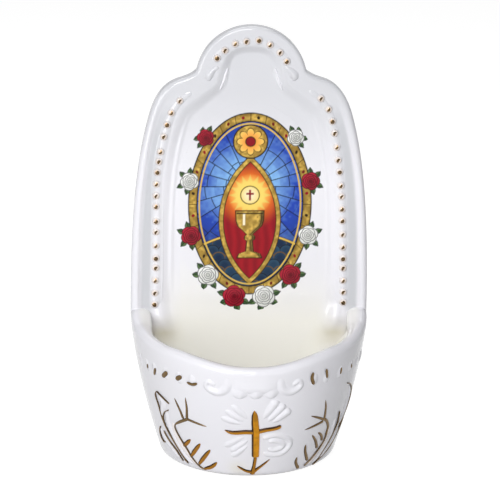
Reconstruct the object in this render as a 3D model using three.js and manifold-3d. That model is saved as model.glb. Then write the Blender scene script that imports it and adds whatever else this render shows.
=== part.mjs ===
// A holy water stoup for a wall, in white glazed slip-cast ceramic with gold lustre: an arched back
// plate with a beaded border, a half-round bowl joined to its lower part, and ornament in low relief.
// Millimetres, +Z up. The front faces -Y. The origin is on the standing plane, under the middle of the
// stoup's box, so the plate's back face is at half the depth.

import * as THREE from "three";
import { mergeVertices } from "three/addons/utils/BufferGeometryUtils.js";
import Module from "manifold-3d";

const wasm = await Module();
wasm.setup();

// Overall sizes
const HEIGHT = 200;
const WIDTH = 108.4;
const DEPTH = 62;

// Back plate: its outline, from the bowl's rim up to the crest
const PLATE_THICK = 7;
const BACK_ROUND = 3.6; // radius of the plate's edge towards its back
const CREST_RADIUS = 25;
const CREST_FOOT_ANGLE = 13.4; // degrees above the crest's centre, where the neck's cove meets it
const NECK_HALF_WIDTH = 32.5;
const NECK_DROP = 24.2; // below the top
const SHOULDER_INSET = 8.7; // in from the widest place
const SHOULDER_DROP = 40; // below the top
const SIDE_LEAN = 16.4; // degrees that the side leans in where the shoulder begins
const SHOULDER_SLOPE = 17.4; // degrees above level where the shoulder ends
const SIDE_EASE = { low: 44, high: 22 }; // lengths of the handles that draw the outline's curves
const SHOULDER_EASE = 7.6;
const NECK_EASE = 3.6;
const COVE_EASE = 2.4;

// Border of the plate: a rounded lip, a flat channel for the beads and an inner ridge
const SIDE_BORDER = 19;
const CREST_BORDER = 10.8;
const SHOULDER_BORDER = { in: 16, down: 7 };
const NECK_BORDER = { in: 12.5, down: 9.8 };
const CREST_FOOT_BORDER = { in: 11.7, down: 6.8 };
const FOOT_BORDER = 8; // height of the border's inner line over the base, where it lies flat
const LIP_SHARE = 0.26; // shares of the border's width, from its outer edge
const BEAD_SHARE = 0.585;
const RIDGE_SHARE = 0.83;
const LIP_EDGE = 0.6; // heights over the field
const LIP_CROWN = 2.3;
const CHANNEL_HEIGHT = 1.6;
const RIDGE_CROWN = 1.5;
const BORDER_RUNOUT = 3; // length over which the border rises from the flat land at the rim

// Beads of the border
const BEAD_RADIUS = 1.75;
const BEAD_HEIGHT = 1.4;
const BEAD_PITCH = 5.7;
const BAND_WIDTH = 4;
const BAND_HEIGHT = 0.9;
const BAND_CURL_GAP = 1.3; // from the side's band to the neck's curl
const BAND_VOLUTE_GAP = 3.8; // from the crest's band to the neck's volute

// Scrolls at the neck, in the channel
const VOLUTE_RADIUS = 2.2;
const CURL_RADIUS = 1.5;
const NECK_SCROLL_WIDTH = 1.1;
const NECK_SCROLL_HEIGHT = 1.5;

// Nail slot in the plate's back
const SLOT_WIDTH = 8;
const SLOT_LENGTH = 16;
const SLOT_WEB = 2; // ceramic left in front of the slot
const SLOT_DROP = 34; // from the top to the slot's middle

// Bowl
const BASE_SIDE_INSET = 14.2; // in from the rim to the base, before the foot's rounding
const BASE_FRONT_INSET = 17;
const WALL_SWELL = 1; // the wall's curve past the lip, forward, at the height of the rim's back
const FLARE_POWER = 1.45; // how fast the wall turns upright
const FOOT_RADIUS = 3;
const WALL = 5;
const FLOOR = 6;
const INNER_RADIUS = 9;
const LIP_RADIUS = 3;
const LIP_START = -60; // degrees below level where the lip's round leaves the wall
const RIM_FRONT = 57.8; // heights of the lip's top
const RIM_SIDE = 62;
const RIM_BACK = 66;
const RIM_DIP_TURNS = { from: 4, to: 45 }; // degrees round from the front
const RIM_RISE_TURNS = { from: 45, to: 90 };

// Ornament under the lip, placed down from the lip's top
const SEAT_GAP = 0.25; // glaze between a sprig and the wall
const SHELL_LOBES = 3;
const SHELL_TURN = 7.7; // degrees from the middle lobe to the others
const SHELL_DROP = 6.6;
const SHELL_LENGTH = 7.6;
const SHELL_LOBE_WIDTH = 8;
const SHELL_HEIGHT = 0.8;
const RIM_SCROLL_TURN = 19.6;
const RIM_SCROLL_DROP = 11;
const RIM_SCROLL_RADIUS = { inner: 1, outer: 4.6 };
const RIM_SCROLL_SWEEP = { from: 500, to: 150 }; // degrees, from its eye to the end at the shell
const RIM_SCROLL_WIDTH = 1.7;
const RIM_SCROLL_HEIGHT = 1;
const RIM_BEADS = 6; // on each side
const RIM_BEAD_TURNS = { from: 31, to: 77 };
const RIM_BEAD_DROP = 12.6; // from the lip's top at the side
const RIM_BEAD_HALF = { across: 1.8, up: 2.4 };
const RIM_BEAD_HEIGHT = 1;

// Ornament on the panel between the base and the shell. Places are [degrees round from the front,
// percent of the panel's height], on the right; the left is their mirror image.
const PANEL_GAP = 1.8; // from the panel's top to the shell
const CROSS_Z = 62.9;
const CROSS_TOP = 88.5;
const CROSS_BOTTOM = 28;
const CROSS_ARM_TURN = 15.5;
const CROSS_STEM_WIDTH = 3.4;
const CROSS_ARM_WIDTH = 2.2;
const CROSS_HEIGHT = 1.1;
const FOOT_SPRAY_TIP = [[0, 7.4], [0, 24.2]];
const FOOT_SPRAY_SIDE = [[0, 7.4], [4.4, 10.5], [9.8, 19.8]];
const FOOT_SPRAY_WIDTH = 1.9;
const FOOT_SPRAY_HEIGHT = 0.8;
const UPPER_RAYS = { root: [5, 73], tips: [[11.6, 96.8], [15.4, 90.6], [18.2, 82.4]] };
const LOWER_RAYS = { root: [5, 51], tips: [[16.6, 41], [14.4, 33.6], [12, 27.4]] };
const RAY_WIDTH = 3;
const RAY_HEIGHT = 0.8;
const WHEAT_STEM = [[31.5, 10], [39.4, 20.6], [45.4, 37.3], [46.6, 55]];
const WHEAT_STEM_WIDTH = 1.8;
const WHEAT_GRAINS = [
  [[42.6, 36.6], [38.2, 50.6]],
  [[39.8, 27.4], [33.6, 45]],
  [[35.8, 20.4], [28.4, 37.8]],
  [[30.2, 15.4], [22.8, 23.4]],
];
const GRAIN_WIDTH = 2;
const WHEAT_TUFT = { root: [42.6, 64.6], tips: [[42.8, 90], [34.8, 87.6], [28.4, 62.2]] };
const TUFT_WIDTH = 1.6;
const WHEAT_HEIGHT = 0.8;
const LEAVES = {
  front: [[44.4, 12], [51.6, 29.7], [55, 55], [50.8, 75]],
  side: [[50.6, 14.8], [58.2, 38.3], [61, 67], [58.6, 92]],
  low: [[57.4, 12.4], [65.4, 27.8], [70.8, 50.2]],
};
const LEAF_WIDTH = 3.2;
const LEAF_HEIGHT = 0.7;

// Printed film on the field: an oval picture with a wreath of blossoms round it
const FILM_THICK = 0.3;
const PICTURE_MARGIN = 7.6; // from the border to the oval's side
const PICTURE_RISE = 9.2; // from the rim's back to the oval's foot
const PICTURE_DROP = 40; // from the plate's top to the oval's head
const WREATH_OUT = { across: 0.6, up: 2.6 }; // the blossoms' line outside the oval
const BLOSSOM_TURNS = [-76, -48, -19, 14, 44]; // degrees above level, from the oval's middle
const BLOSSOM_RADIUS = { low: 5.4, high: 4 };

const glaze = new THREE.MeshStandardMaterial({ color: 0xf3f2ee, roughness: 0.12, metalness: 0 });
const gold = new THREE.MeshStandardMaterial({ color: 0xb8862f, roughness: 0.3, metalness: 1 });
const enamel = new THREE.MeshStandardMaterial({ color: 0x47619b, roughness: 0.2, metalness: 0 });

const { smoothstep, lerp, degToRad } = THREE.MathUtils;
const HALF_WIDTH = WIDTH / 2;
const CREST_Z = HEIGHT - CREST_RADIUS;
const BACK_Y = DEPTH / 2;
const FIELD_Y = BACK_Y - PLATE_THICK;
const RIM_REACH = DEPTH - PLATE_THICK; // front of the lip from the plate
const PANEL_HEIGHT = RIM_FRONT - SHELL_DROP - SHELL_LENGTH - PANEL_GAP;
const SAME_POINT = 1e-4;
const SIDES = [{ name: "left", sign: -1 }, { name: "right", sign: 1 }];

const point = (x, z) => new THREE.Vector2(x, z);
const mirrored = (p, sign) => point(sign * p.x, p.y);

// Solids from points, rings and outlines

// A closed solid from faces on a list of points: equal points become one, and faces point outwards.
function closedSolid(points, faces) {
  const rough = new THREE.BufferGeometry().setFromPoints(points);
  rough.setIndex(faces.flat());
  const merged = mergeVertices(rough, SAME_POINT);
  const place = merged.getAttribute("position");
  const corner = (i) => new THREE.Vector3().fromBufferAttribute(place, i);
  const index = merged.index.array;
  const kept = [];
  let volume = 0;
  for (let i = 0; i < index.length; i += 3) {
    const [a, b, c] = index.slice(i, i + 3);
    if (a !== b && b !== c && c !== a) {
      kept.push([a, b, c]);
      volume += corner(a).dot(corner(b).cross(corner(c)));
    }
  }
  const facing = volume < 0 ? kept.map(([a, b, c]) => [a, c, b]) : kept;
  merged.setIndex(facing.flat());
  return merged;
}

// Joins rings of equal length one to the next and closes both ends with the given end faces.
function loft(rings, startFaces, endFaces) {
  const size = rings[0].length;
  const faces = [];
  for (let i = 0; i + 1 < rings.length; i++) {
    for (let j = 0; j < size; j++) {
      const k = (j + 1) % size;
      const [a, b, c, d] = [i * size + j, i * size + k, (i + 1) * size + k, (i + 1) * size + j];
      faces.push([a, b, c], [a, c, d]);
    }
  }
  const last = (rings.length - 1) * size;
  startFaces.forEach(([a, b, c]) => faces.push([a, c, b]));
  endFaces.forEach(([a, b, c]) => faces.push([last + a, last + b, last + c]));
  return closedSolid(rings.flat(), faces);
}

// The triangles of a flat outline, turned the way that its points run.
function outlineFaces(outline) {
  const faces = THREE.ShapeUtils.triangulateShape(outline, []);
  return THREE.ShapeUtils.isClockWise(outline) ? faces.map(([a, b, c]) => [a, c, b]) : faces;
}

function toManifold(geometry) {
  const bare = new THREE.BufferGeometry();
  bare.setAttribute("position", geometry.getAttribute("position"));
  bare.setIndex(geometry.index);
  const merged = mergeVertices(bare, SAME_POINT);
  const vertProperties = merged.getAttribute("position").array;
  const triVerts = new Uint32Array(merged.index.array);
  return new wasm.Manifold(new wasm.Mesh({ numProp: 3, vertProperties, triVerts }));
}

function fromManifold(solid) {
  const mesh = solid.getMesh();
  const geometry = new THREE.BufferGeometry();
  geometry.setAttribute("position", new THREE.BufferAttribute(mesh.vertProperties, 3));
  geometry.setIndex(new THREE.BufferAttribute(mesh.triVerts, 1));
  return geometry;
}

function join(geometries) {
  return fromManifold(geometries.map(toManifold).reduce((sum, next) => sum.add(next)));
}

function cut(body, tool) {
  return fromManifold(toManifold(body).subtract(toManifold(tool)));
}

// A flat outline in X and Z made a slab that reaches from y = back to y = back - thick.
function slab(shape, thick, back, curveSegments) {
  const options = { depth: thick, bevelEnabled: false, curveSegments };
  return new THREE.ExtrudeGeometry(shape, options).rotateX(Math.PI / 2).translate(0, back, 0);
}

// The bowl's form

function footInset(z) {
  return z < FOOT_RADIUS ? FOOT_RADIUS - Math.sqrt(FOOT_RADIUS ** 2 - (FOOT_RADIUS - z) ** 2) : 0;
}

// Half-axes of the wall's outside at a height: across, and forward from the plate.
function wallAxes(z) {
  const flare = z < RIM_BACK ? (1 - z / RIM_BACK) ** FLARE_POWER : 0;
  return {
    across: HALF_WIDTH - BASE_SIDE_INSET * flare - footInset(z),
    forward: RIM_REACH + WALL_SWELL - (BASE_FRONT_INSET + WALL_SWELL) * flare - footInset(z),
  };
}

function atTurn(turn, axes, z) {
  const angle = degToRad(turn);
  return new THREE.Vector3(axes.across * Math.sin(angle), FIELD_Y - axes.forward * Math.cos(angle), z);
}

function rimHeight(turn) {
  const round = Math.abs(turn);
  const dip = smoothstep(round, RIM_DIP_TURNS.from, RIM_DIP_TURNS.to);
  const rise = smoothstep(round, RIM_RISE_TURNS.from, RIM_RISE_TURNS.to);
  return RIM_FRONT + (RIM_SIDE - RIM_FRONT) * dip + (RIM_BACK - RIM_SIDE) * rise;
}

// One upright section of the bowl, as half-axes and heights, from the base's middle to the floor's.
function bowlSection(turn) {
  const [footSteps, wallSteps, lipSteps, innerSteps, filletSteps] = [3, 8, 8, 6, 4];
  const quarter = Math.PI / 2;
  const lipStart = degToRad(LIP_START);
  const lipZ = rimHeight(turn) - LIP_RADIUS;
  const wallTop = lipZ + LIP_RADIUS * Math.sin(lipStart);
  const filletZ = FLOOR + INNER_RADIUS;
  const points = [{ across: 0, forward: 0, z: 0 }];
  for (let i = 0; i < footSteps; i++) {
    const z = FOOT_RADIUS * (1 - Math.cos((quarter * i) / footSteps));
    points.push({ ...wallAxes(z), z });
  }
  for (let i = 0; i < wallSteps; i++) {
    const z = lerp(FOOT_RADIUS, wallTop, i / wallSteps);
    points.push({ ...wallAxes(z), z });
  }
  for (let i = 0; i <= lipSteps; i++) {
    const angle = lerp(lipStart, Math.PI, i / lipSteps);
    const back = LIP_RADIUS * (1 - Math.cos(angle));
    const z = lipZ + LIP_RADIUS * Math.sin(angle);
    const wall = angle < 0 ? wallAxes(z) : { across: 0, forward: 0 };
    const across = Math.max(HALF_WIDTH - back, wall.across);
    const forward = Math.max(RIM_REACH - back, wall.forward);
    points.push({ across, forward, z });
  }
  for (let i = 1; i <= innerSteps; i++) {
    const z = lerp(lipZ, filletZ, i / innerSteps);
    const wall = wallAxes(z);
    points.push({ across: wall.across - WALL, forward: wall.forward - WALL, z });
  }
  const inner = points.at(-1);
  for (let i = 1; i <= filletSteps; i++) {
    const angle = (quarter * i) / filletSteps;
    const inset = INNER_RADIUS * (1 - Math.cos(angle));
    const z = filletZ - INNER_RADIUS * Math.sin(angle);
    points.push({ across: inner.across - inset, forward: inner.forward - inset, z });
  }
  points.push({ across: 0, forward: 0, z: FLOOR });
  return points;
}

function makeBowl() {
  const steps = 40;
  const rings = [];
  for (let i = 0; i <= steps; i++) {
    const turn = lerp(-90, 90, i / steps);
    rings.push(bowlSection(turn).map((p) => atTurn(turn, p, p.z)));
  }
  const faces = outlineFaces(bowlSection(90).map((p) => point(p.across, p.z)));
  return loft(rings, faces, faces);
}

// The plate's outline and border

// Corners of the border on the right, each with a place on its outer and on its inner line.
function borderCorners() {
  const inward = (p, border) => point(p.x - border.in, p.y - border.down);
  const rise = degToRad(CREST_FOOT_ANGLE);
  const shoulder = point(HALF_WIDTH - SHOULDER_INSET, HEIGHT - SHOULDER_DROP);
  const neck = point(NECK_HALF_WIDTH, HEIGHT - NECK_DROP);
  const crestFoot = point(Math.cos(rise), Math.sin(rise)).multiplyScalar(CREST_RADIUS);
  crestFoot.y += CREST_Z;
  return {
    rim: { outer: point(HALF_WIDTH, RIM_BACK), inner: point(HALF_WIDTH - SIDE_BORDER, RIM_BACK) },
    shoulder: { outer: shoulder, inner: inward(shoulder, SHOULDER_BORDER) },
    neck: { outer: neck, inner: inward(neck, NECK_BORDER) },
    crestFoot: { outer: crestFoot, inner: inward(crestFoot, CREST_FOOT_BORDER) },
    crest: { outer: point(0, HEIGHT), inner: point(0, HEIGHT - CREST_BORDER) },
  };
}

const CORNERS = borderCorners();

// The border's outer and inner lines on the right, from the rim to the crest, as pairs of curves.
function borderCurves() {
  const heading = (degrees) => point(Math.cos(degToRad(degrees)), Math.sin(degToRad(degrees)));
  const up = heading(90);
  const side = heading(90 + SIDE_LEAN);
  const slope = heading(180 - SHOULDER_SLOPE);
  const diagonal = heading(135);
  const crest = heading(90 + CREST_FOOT_ANGLE);
  const level = heading(180);
  const bezier = (p, wayP, easeP, q, wayQ, easeQ) => {
    const from = p.clone().addScaledVector(wayP, easeP);
    const to = q.clone().addScaledVector(wayQ, -easeQ);
    return new THREE.CubicBezierCurve(p, from, to, q);
  };
  const { rim, shoulder, neck, crestFoot, crest: top } = CORNERS;
  const start = degToRad(CREST_FOOT_ANGLE);
  return [
    {
      outer: bezier(rim.outer, up, SIDE_EASE.low, shoulder.outer, side, SIDE_EASE.high),
      inner: bezier(rim.inner, up, SIDE_EASE.low, shoulder.inner, side, SIDE_EASE.high),
      steps: 17,
    },
    {
      outer: bezier(shoulder.outer, side, SHOULDER_EASE, neck.outer, slope, SHOULDER_EASE),
      inner: bezier(shoulder.inner, side, SHOULDER_EASE, neck.inner, diagonal, SHOULDER_EASE),
      steps: 9,
    },
    {
      outer: bezier(neck.outer, slope, NECK_EASE, crestFoot.outer, crest, COVE_EASE),
      inner: bezier(neck.inner, diagonal, NECK_EASE, crestFoot.inner, crest, COVE_EASE),
      steps: 6,
    },
    {
      outer: new THREE.EllipseCurve(0, CREST_Z, CREST_RADIUS, CREST_RADIUS, start, Math.PI / 2),
      inner: bezier(crestFoot.inner, crest, CREST_BORDER, top.inner, level, CREST_BORDER),
      steps: 12,
    },
  ];
}

// The border in pairs of places, outer and inner, on the right, from the base's middle to the crest's.
// Below the rim it is the flat land that the bowl is luted to, and follows the bowl's side.
function borderPairs() {
  const landSteps = 9;
  const landFoot = point(wallAxes(0).across - SIDE_BORDER, FOOT_BORDER);
  const pairs = [{ outer: point(0, 0), inner: point(0, FOOT_BORDER) }];
  for (let i = 0; i < landSteps; i++) {
    const share = (i / landSteps) ** 2;
    const z = RIM_BACK * share;
    const inner = landFoot.clone().lerp(CORNERS.rim.inner, share);
    pairs.push({ outer: point(wallAxes(z).across, z), inner });
  }
  for (const { outer, inner, steps } of borderCurves()) {
    for (let i = 0; i < steps; i++) {
      pairs.push({ outer: outer.getPoint(i / steps), inner: inner.getPoint(i / steps) });
    }
  }
  pairs.push(CORNERS.crest);
  return pairs;
}

const BORDER = borderPairs();

// A rounded moulding across the border: share of the width and height at each end, and its crown.
function moulding(from, to, startHeight, endHeight, crown, steps) {
  const points = [];
  for (let i = 0; i <= steps; i++) {
    const angle = (Math.PI * i) / steps;
    const across = (1 - Math.cos(angle)) / 2;
    const height = lerp(startHeight, endHeight, across) + crown * Math.sin(angle);
    points.push({ share: lerp(from, to, across), height });
  }
  return points;
}

function nailSlot() {
  const past = 1; // beyond the back face, so that the cut is clean
  const half = (SLOT_LENGTH - SLOT_WIDTH) / 2;
  const middle = HEIGHT - SLOT_DROP;
  const outline = new THREE.Shape();
  outline.absarc(0, middle + half, SLOT_WIDTH / 2, 0, Math.PI);
  outline.absarc(0, middle - half, SLOT_WIDTH / 2, Math.PI, 2 * Math.PI);
  return slab(outline, PLATE_THICK - SLOT_WEB + past, BACK_Y + past, 10);
}

function makePlate() {
  const flip = ({ outer, inner }) => ({ outer: mirrored(outer, -1), inner: mirrored(inner, -1) });
  const around = [...BORDER, ...BORDER.slice(1, -1).reverse().map(flip)];
  const profile = [
    ...moulding(0, LIP_SHARE, LIP_EDGE, CHANNEL_HEIGHT, LIP_CROWN, 6),
    ...moulding(RIDGE_SHARE, 1, CHANNEL_HEIGHT, 0, RIDGE_CROWN, 4),
  ];
  const place = (p, y) => new THREE.Vector3(p.x, y, p.y);
  const rounded = [0, 45, 90].map(degToRad).map((angle) =>
    around.map(({ outer, inner }) => {
      const inwards = inner.clone().sub(outer).setLength(BACK_ROUND * (1 - Math.sin(angle)));
      return place(outer.clone().add(inwards), BACK_Y - BACK_ROUND * (1 - Math.cos(angle)));
    }),
  );
  const raised = ({ outer }) => smoothstep(outer.y, RIM_BACK + SEAT_GAP, RIM_BACK + BORDER_RUNOUT);
  const moulded = profile.map(({ share, height }) =>
    around.map((pair) => {
      const p = pair.outer.clone().lerp(pair.inner, share);
      return place(p, FIELD_Y - height * raised(pair));
    }),
  );
  const rings = [...rounded, ...moulded];
  const flat = (ring) => ring.map((p) => point(p.x, p.z));
  const body = loft(rings, outlineFaces(flat(rings[0])), outlineFaces(flat(rings.at(-1))));
  return cut(body, nailSlot());
}

// Ornament swept along a path that lies on a seat

// Seats turn a place and a height over the seat into a point.
function wallSeat(turn, z, lift) {
  const step = 0.01;
  const here = atTurn(turn, wallAxes(z), z);
  const across = atTurn(turn + step, wallAxes(z), z).sub(here);
  const up = atTurn(turn, wallAxes(z + step), z + step).sub(here);
  const out = across.cross(up).normalize();
  return here.addScaledVector(out, SEAT_GAP + lift);
}

function channelSeat(x, z, lift) {
  return new THREE.Vector3(x, FIELD_Y - CHANNEL_HEIGHT - lift, z);
}

// Sections across a ridge: share of its half width, and share of its height.
const ROUND_SECTION = [[-1, 0], [-0.72, 0.66], [0, 1], [0.72, 0.66], [1, 0]];
const FLAT_SECTION = [[-1, 0], [-0.85, 1], [0.85, 1], [1, 0]];
const LOBE_SECTION = [[-1, 0], [-0.85, 0.7], [-0.4, 1], [0.4, 1], [0.85, 0.7], [1, 0]];

// How a ridge's size runs from its root, at 0, to its tip, at 1.
const even = () => 1;
const spindle = (t) => Math.sin(Math.PI * lerp(0.07, 0.93, t)) ** 0.7;
const pointed = (t) => lerp(1, 0.25, t ** 2);
const flute = (t) => lerp(0.35, 1, t) * Math.sqrt(1 - 0.9 * smoothstep(t, 0.7, 1) ** 2);
const lobe = (t) => lerp(0.96, 1, t) * Math.sqrt(1 - 0.9 * smoothstep(t, 0.6, 1) ** 2);

function ridge(seat, path, width, height, sizeAt, section = ROUND_SECTION) {
  const last = path.length - 1;
  const rings = path.map((p, i) => {
    const before = path[Math.max(i - 1, 0)];
    const after = path[Math.min(i + 1, last)];
    const here = seat(p.x, p.y, 0);
    const out = seat(p.x, p.y, 1).sub(here);
    const way = seat(after.x, after.y, 0).sub(seat(before.x, before.y, 0));
    const across = way.cross(out).normalize();
    const size = sizeAt(i / last);
    return section.map(([side, up]) =>
      here
        .clone()
        .addScaledVector(across, (side * size * width) / 2)
        .addScaledVector(out, up * size * height),
    );
  });
  const faces = outlineFaces(section.map(([side, up]) => point(side, up)));
  return loft(rings, faces, faces);
}

// A ridge through places on the panel's right, or through their mirror image on its left.
function panelRidge(places, sign, steps, width, height, sizeAt) {
  const path = places.map(([turn, percent]) => point(sign * turn, (PANEL_HEIGHT * percent) / 100));
  return ridge(wallSeat, new THREE.SplineCurve(path).getPoints(steps), width, height, sizeAt);
}

// A fan of ridges from one root.
function fan({ root, tips }, sign, width, height, sizeAt) {
  return join(tips.map((tip) => panelRidge([root, tip], sign, 6, width, height, sizeAt)));
}

// Part of a spiral round a centre: radii and angles in degrees at its two ends.
function spiral(centre, fromRadius, toRadius, fromAngle, toAngle, steps) {
  const points = [];
  for (let i = 0; i <= steps; i++) {
    const angle = degToRad(lerp(fromAngle, toAngle, i / steps));
    const radius = lerp(fromRadius, toRadius, i / steps);
    points.push(point(Math.cos(angle), Math.sin(angle)).multiplyScalar(radius).add(centre));
  }
  return points;
}

// Millimetres along the wall for each degree round it.
function wallPerDegree(z) {
  return degToRad(wallAxes(z).forward);
}

// The border's channel: bands of beads and the neck's scrolls

const onBeadLine = ({ outer, inner }) => outer.clone().lerp(inner, BEAD_SHARE);
const VOLUTE_CENTRE = onBeadLine(CORNERS.crestFoot);
const CURL_CENTRE = onBeadLine(CORNERS.neck);

// The beads' line on the border's right side, between two heights.
function beadLine(low, high) {
  const line = BORDER.map(onBeadLine);
  const points = [];
  for (let i = 0; i + 1 < line.length; i++) {
    const [p, q] = [line[i], line[i + 1]];
    const at = (z) => p.clone().lerp(q, (z - p.y) / (q.y - p.y));
    if (p.y <= low && q.y > low) points.push(at(low));
    if (p.y > low && p.y < high) points.push(p);
    if (p.y < high && q.y >= high) points.push(at(high));
  }
  return points;
}

// A bead that faces the front, with a root that reaches half way into the strip below it.
function beadDome() {
  const sides = 7;
  const root = -BAND_HEIGHT / 2;
  const outline = [point(0, root), point(BEAD_RADIUS, root)];
  for (const angle of [0, 38, 68, 90].map(degToRad)) {
    outline.push(point(BEAD_RADIUS * Math.cos(angle), BEAD_HEIGHT * Math.sin(angle)));
  }
  return new THREE.LatheGeometry(outline, sides).rotateX(Math.PI);
}

// A strip in the channel with a row of beads standing on it.
function beadBand(line) {
  const stepLength = 4;
  const curve = new THREE.SplineCurve(line);
  const length = curve.getLength();
  const path = curve.getSpacedPoints(Math.round(length / stepLength));
  const strip = ridge(channelSeat, path, BAND_WIDTH, BAND_HEIGHT, even, FLAT_SECTION);
  const room = length - 2 * BEAD_RADIUS;
  const gaps = Math.floor(room / BEAD_PITCH);
  const beads = [];
  for (let i = 0; i <= gaps; i++) {
    const p = curve.getPointAt((BEAD_RADIUS + (room * i) / gaps) / length);
    const seat = channelSeat(p.x, p.y, BAND_HEIGHT);
    beads.push(beadDome().translate(seat.x, seat.y, seat.z));
  }
  return join([strip, ...beads]);
}

function crestBand() {
  const low = VOLUTE_CENTRE.y + VOLUTE_RADIUS + BAND_VOLUTE_GAP;
  const right = beadLine(low, HEIGHT);
  const left = right.map((p) => mirrored(p, -1)).reverse();
  return beadBand([...right, onBeadLine(CORNERS.crest), ...left]);
}

function sideBand(sign) {
  const high = CURL_CENTRE.y - CURL_RADIUS - BAND_CURL_GAP;
  const line = beadLine(RIM_BACK + BORDER_RUNOUT, high);
  return beadBand(line.map((p) => mirrored(p, sign)));
}

// The neck's scroll: a volute, a stem and a smaller curl that turns the other way.
function neckScroll(sign) {
  const path = [
    ...spiral(VOLUTE_CENTRE, 0.4 * VOLUTE_RADIUS, VOLUTE_RADIUS, 330, -20, 12),
    ...spiral(CURL_CENTRE, CURL_RADIUS, 0.5 * CURL_RADIUS, 100, 350, 9),
  ];
  const placed = path.map((p) => mirrored(p, sign));
  return ridge(channelSeat, placed, NECK_SCROLL_WIDTH, NECK_SCROLL_HEIGHT, spindle);
}

// Under the lip: the shell, the scrolls and the beads

// The shell: three upright lobes side by side, flat on their tops and rounded at their lower ends.
function rimShell() {
  const steps = 8;
  const top = RIM_FRONT - SHELL_DROP;
  const lobes = [];
  for (let i = 0; i < SHELL_LOBES; i++) {
    const turn = lerp(-SHELL_TURN, SHELL_TURN, i / (SHELL_LOBES - 1));
    const path = new THREE.LineCurve(point(turn, top), point(turn, top - SHELL_LENGTH));
    lobes.push(ridge(wallSeat, path.getPoints(steps), SHELL_LOBE_WIDTH, SHELL_HEIGHT, lobe, LOBE_SECTION));
  }
  return join(lobes);
}

function rimScroll(sign) {
  const { inner, outer } = RIM_SCROLL_RADIUS;
  const { from, to } = RIM_SCROLL_SWEEP;
  const z = rimHeight(RIM_SCROLL_TURN) - RIM_SCROLL_DROP;
  const onWall = (p) => point(sign * (RIM_SCROLL_TURN + p.x / wallPerDegree(z)), z + p.y);
  const path = spiral(point(0, 0), inner, outer, from, to, 22).map(onWall);
  return ridge(wallSeat, path, RIM_SCROLL_WIDTH, RIM_SCROLL_HEIGHT, spindle);
}

// A low oval bead on the bowl's wall: rings that narrow towards its top.
function rimBead(turn) {
  const sides = 9;
  const rings = [1, 0.8, 0.42];
  const z = RIM_SIDE - RIM_BEAD_DROP;
  const points = [wallSeat(turn, z, 0), wallSeat(turn, z, RIM_BEAD_HEIGHT)];
  for (const share of rings) {
    const lift = RIM_BEAD_HEIGHT * Math.sqrt(1 - share ** 2);
    for (let i = 0; i < sides; i++) {
      const angle = (2 * Math.PI * i) / sides;
      const across = (RIM_BEAD_HALF.across * share * Math.cos(angle)) / wallPerDegree(z);
      const up = RIM_BEAD_HALF.up * share * Math.sin(angle);
      points.push(wallSeat(turn + across, z + up, lift));
    }
  }
  const [bottom, top] = [0, 1];
  const at = (ring, i) => 2 + ring * sides + (i % sides);
  const faces = [];
  for (let i = 0; i < sides; i++) {
    faces.push([bottom, at(0, i + 1), at(0, i)]);
    for (let ring = 0; ring + 1 < rings.length; ring++) {
      faces.push([at(ring, i), at(ring, i + 1), at(ring + 1, i + 1)]);
      faces.push([at(ring, i), at(ring + 1, i + 1), at(ring + 1, i)]);
    }
    faces.push([at(rings.length - 1, i), at(rings.length - 1, i + 1), top]);
  }
  return closedSolid(points, faces);
}

// On the panel: the cross and its foot

function makeCross() {
  const upright = [[0, CROSS_BOTTOM], [0, CROSS_TOP]];
  const level = [[-CROSS_ARM_TURN, CROSS_Z], [0, CROSS_Z], [CROSS_ARM_TURN, CROSS_Z]];
  const stem = panelRidge(upright, 1, 10, CROSS_STEM_WIDTH, CROSS_HEIGHT, pointed);
  const arms = panelRidge(level, 1, 12, CROSS_ARM_WIDTH, CROSS_HEIGHT, spindle);
  return join([stem, arms]);
}

function makeCrossFoot() {
  const leaf = (places, sign) =>
    panelRidge(places, sign, 6, FOOT_SPRAY_WIDTH, FOOT_SPRAY_HEIGHT, spindle);
  return join([leaf(FOOT_SPRAY_TIP, 1), leaf(FOOT_SPRAY_SIDE, 1), leaf(FOOT_SPRAY_SIDE, -1)]);
}

// On the field: the printed film

function pictureFilm() {
  const low = RIM_BACK + PICTURE_RISE;
  const high = HEIGHT - PICTURE_DROP;
  const middle = (low + high) / 2;
  const halfWidth = HALF_WIDTH - SIDE_BORDER - PICTURE_MARGIN;
  const halfHeight = (high - low) / 2;
  const oval = new THREE.Shape();
  oval.absellipse(0, middle, halfWidth, halfHeight, 0, 2 * Math.PI);
  const films = [slab(oval, FILM_THICK, FIELD_Y, 20)];
  for (const { sign } of SIDES) {
    BLOSSOM_TURNS.forEach((turn, i) => {
      const x = (halfWidth + WREATH_OUT.across) * Math.cos(degToRad(turn));
      const z = (halfHeight + WREATH_OUT.up) * Math.sin(degToRad(turn));
      const radius = lerp(BLOSSOM_RADIUS.low, BLOSSOM_RADIUS.high, i / (BLOSSOM_TURNS.length - 1));
      const blossom = new THREE.Shape();
      blossom.absarc(sign * x, middle + z, radius, 0, 2 * Math.PI);
      films.push(slab(blossom, FILM_THICK, FIELD_Y, 8));
    });
  }
  return join(films);
}

// The stoup

const group = new THREE.Group();

function add(name, geometry, material) {
  geometry.computeVertexNormals();
  const mesh = new THREE.Mesh(geometry, material);
  mesh.name = name;
  group.add(mesh);
}

add("back_plate", makePlate(), glaze);
add("bowl", makeBowl(), glaze);
add("picture_transfer", pictureFilm(), enamel);
add("bead_band_crest", crestBand(), glaze);
add("rim_shell", rimShell(), glaze);
add("cross", makeCross(), gold);
add("cross_foot", makeCrossFoot(), gold);

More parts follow.
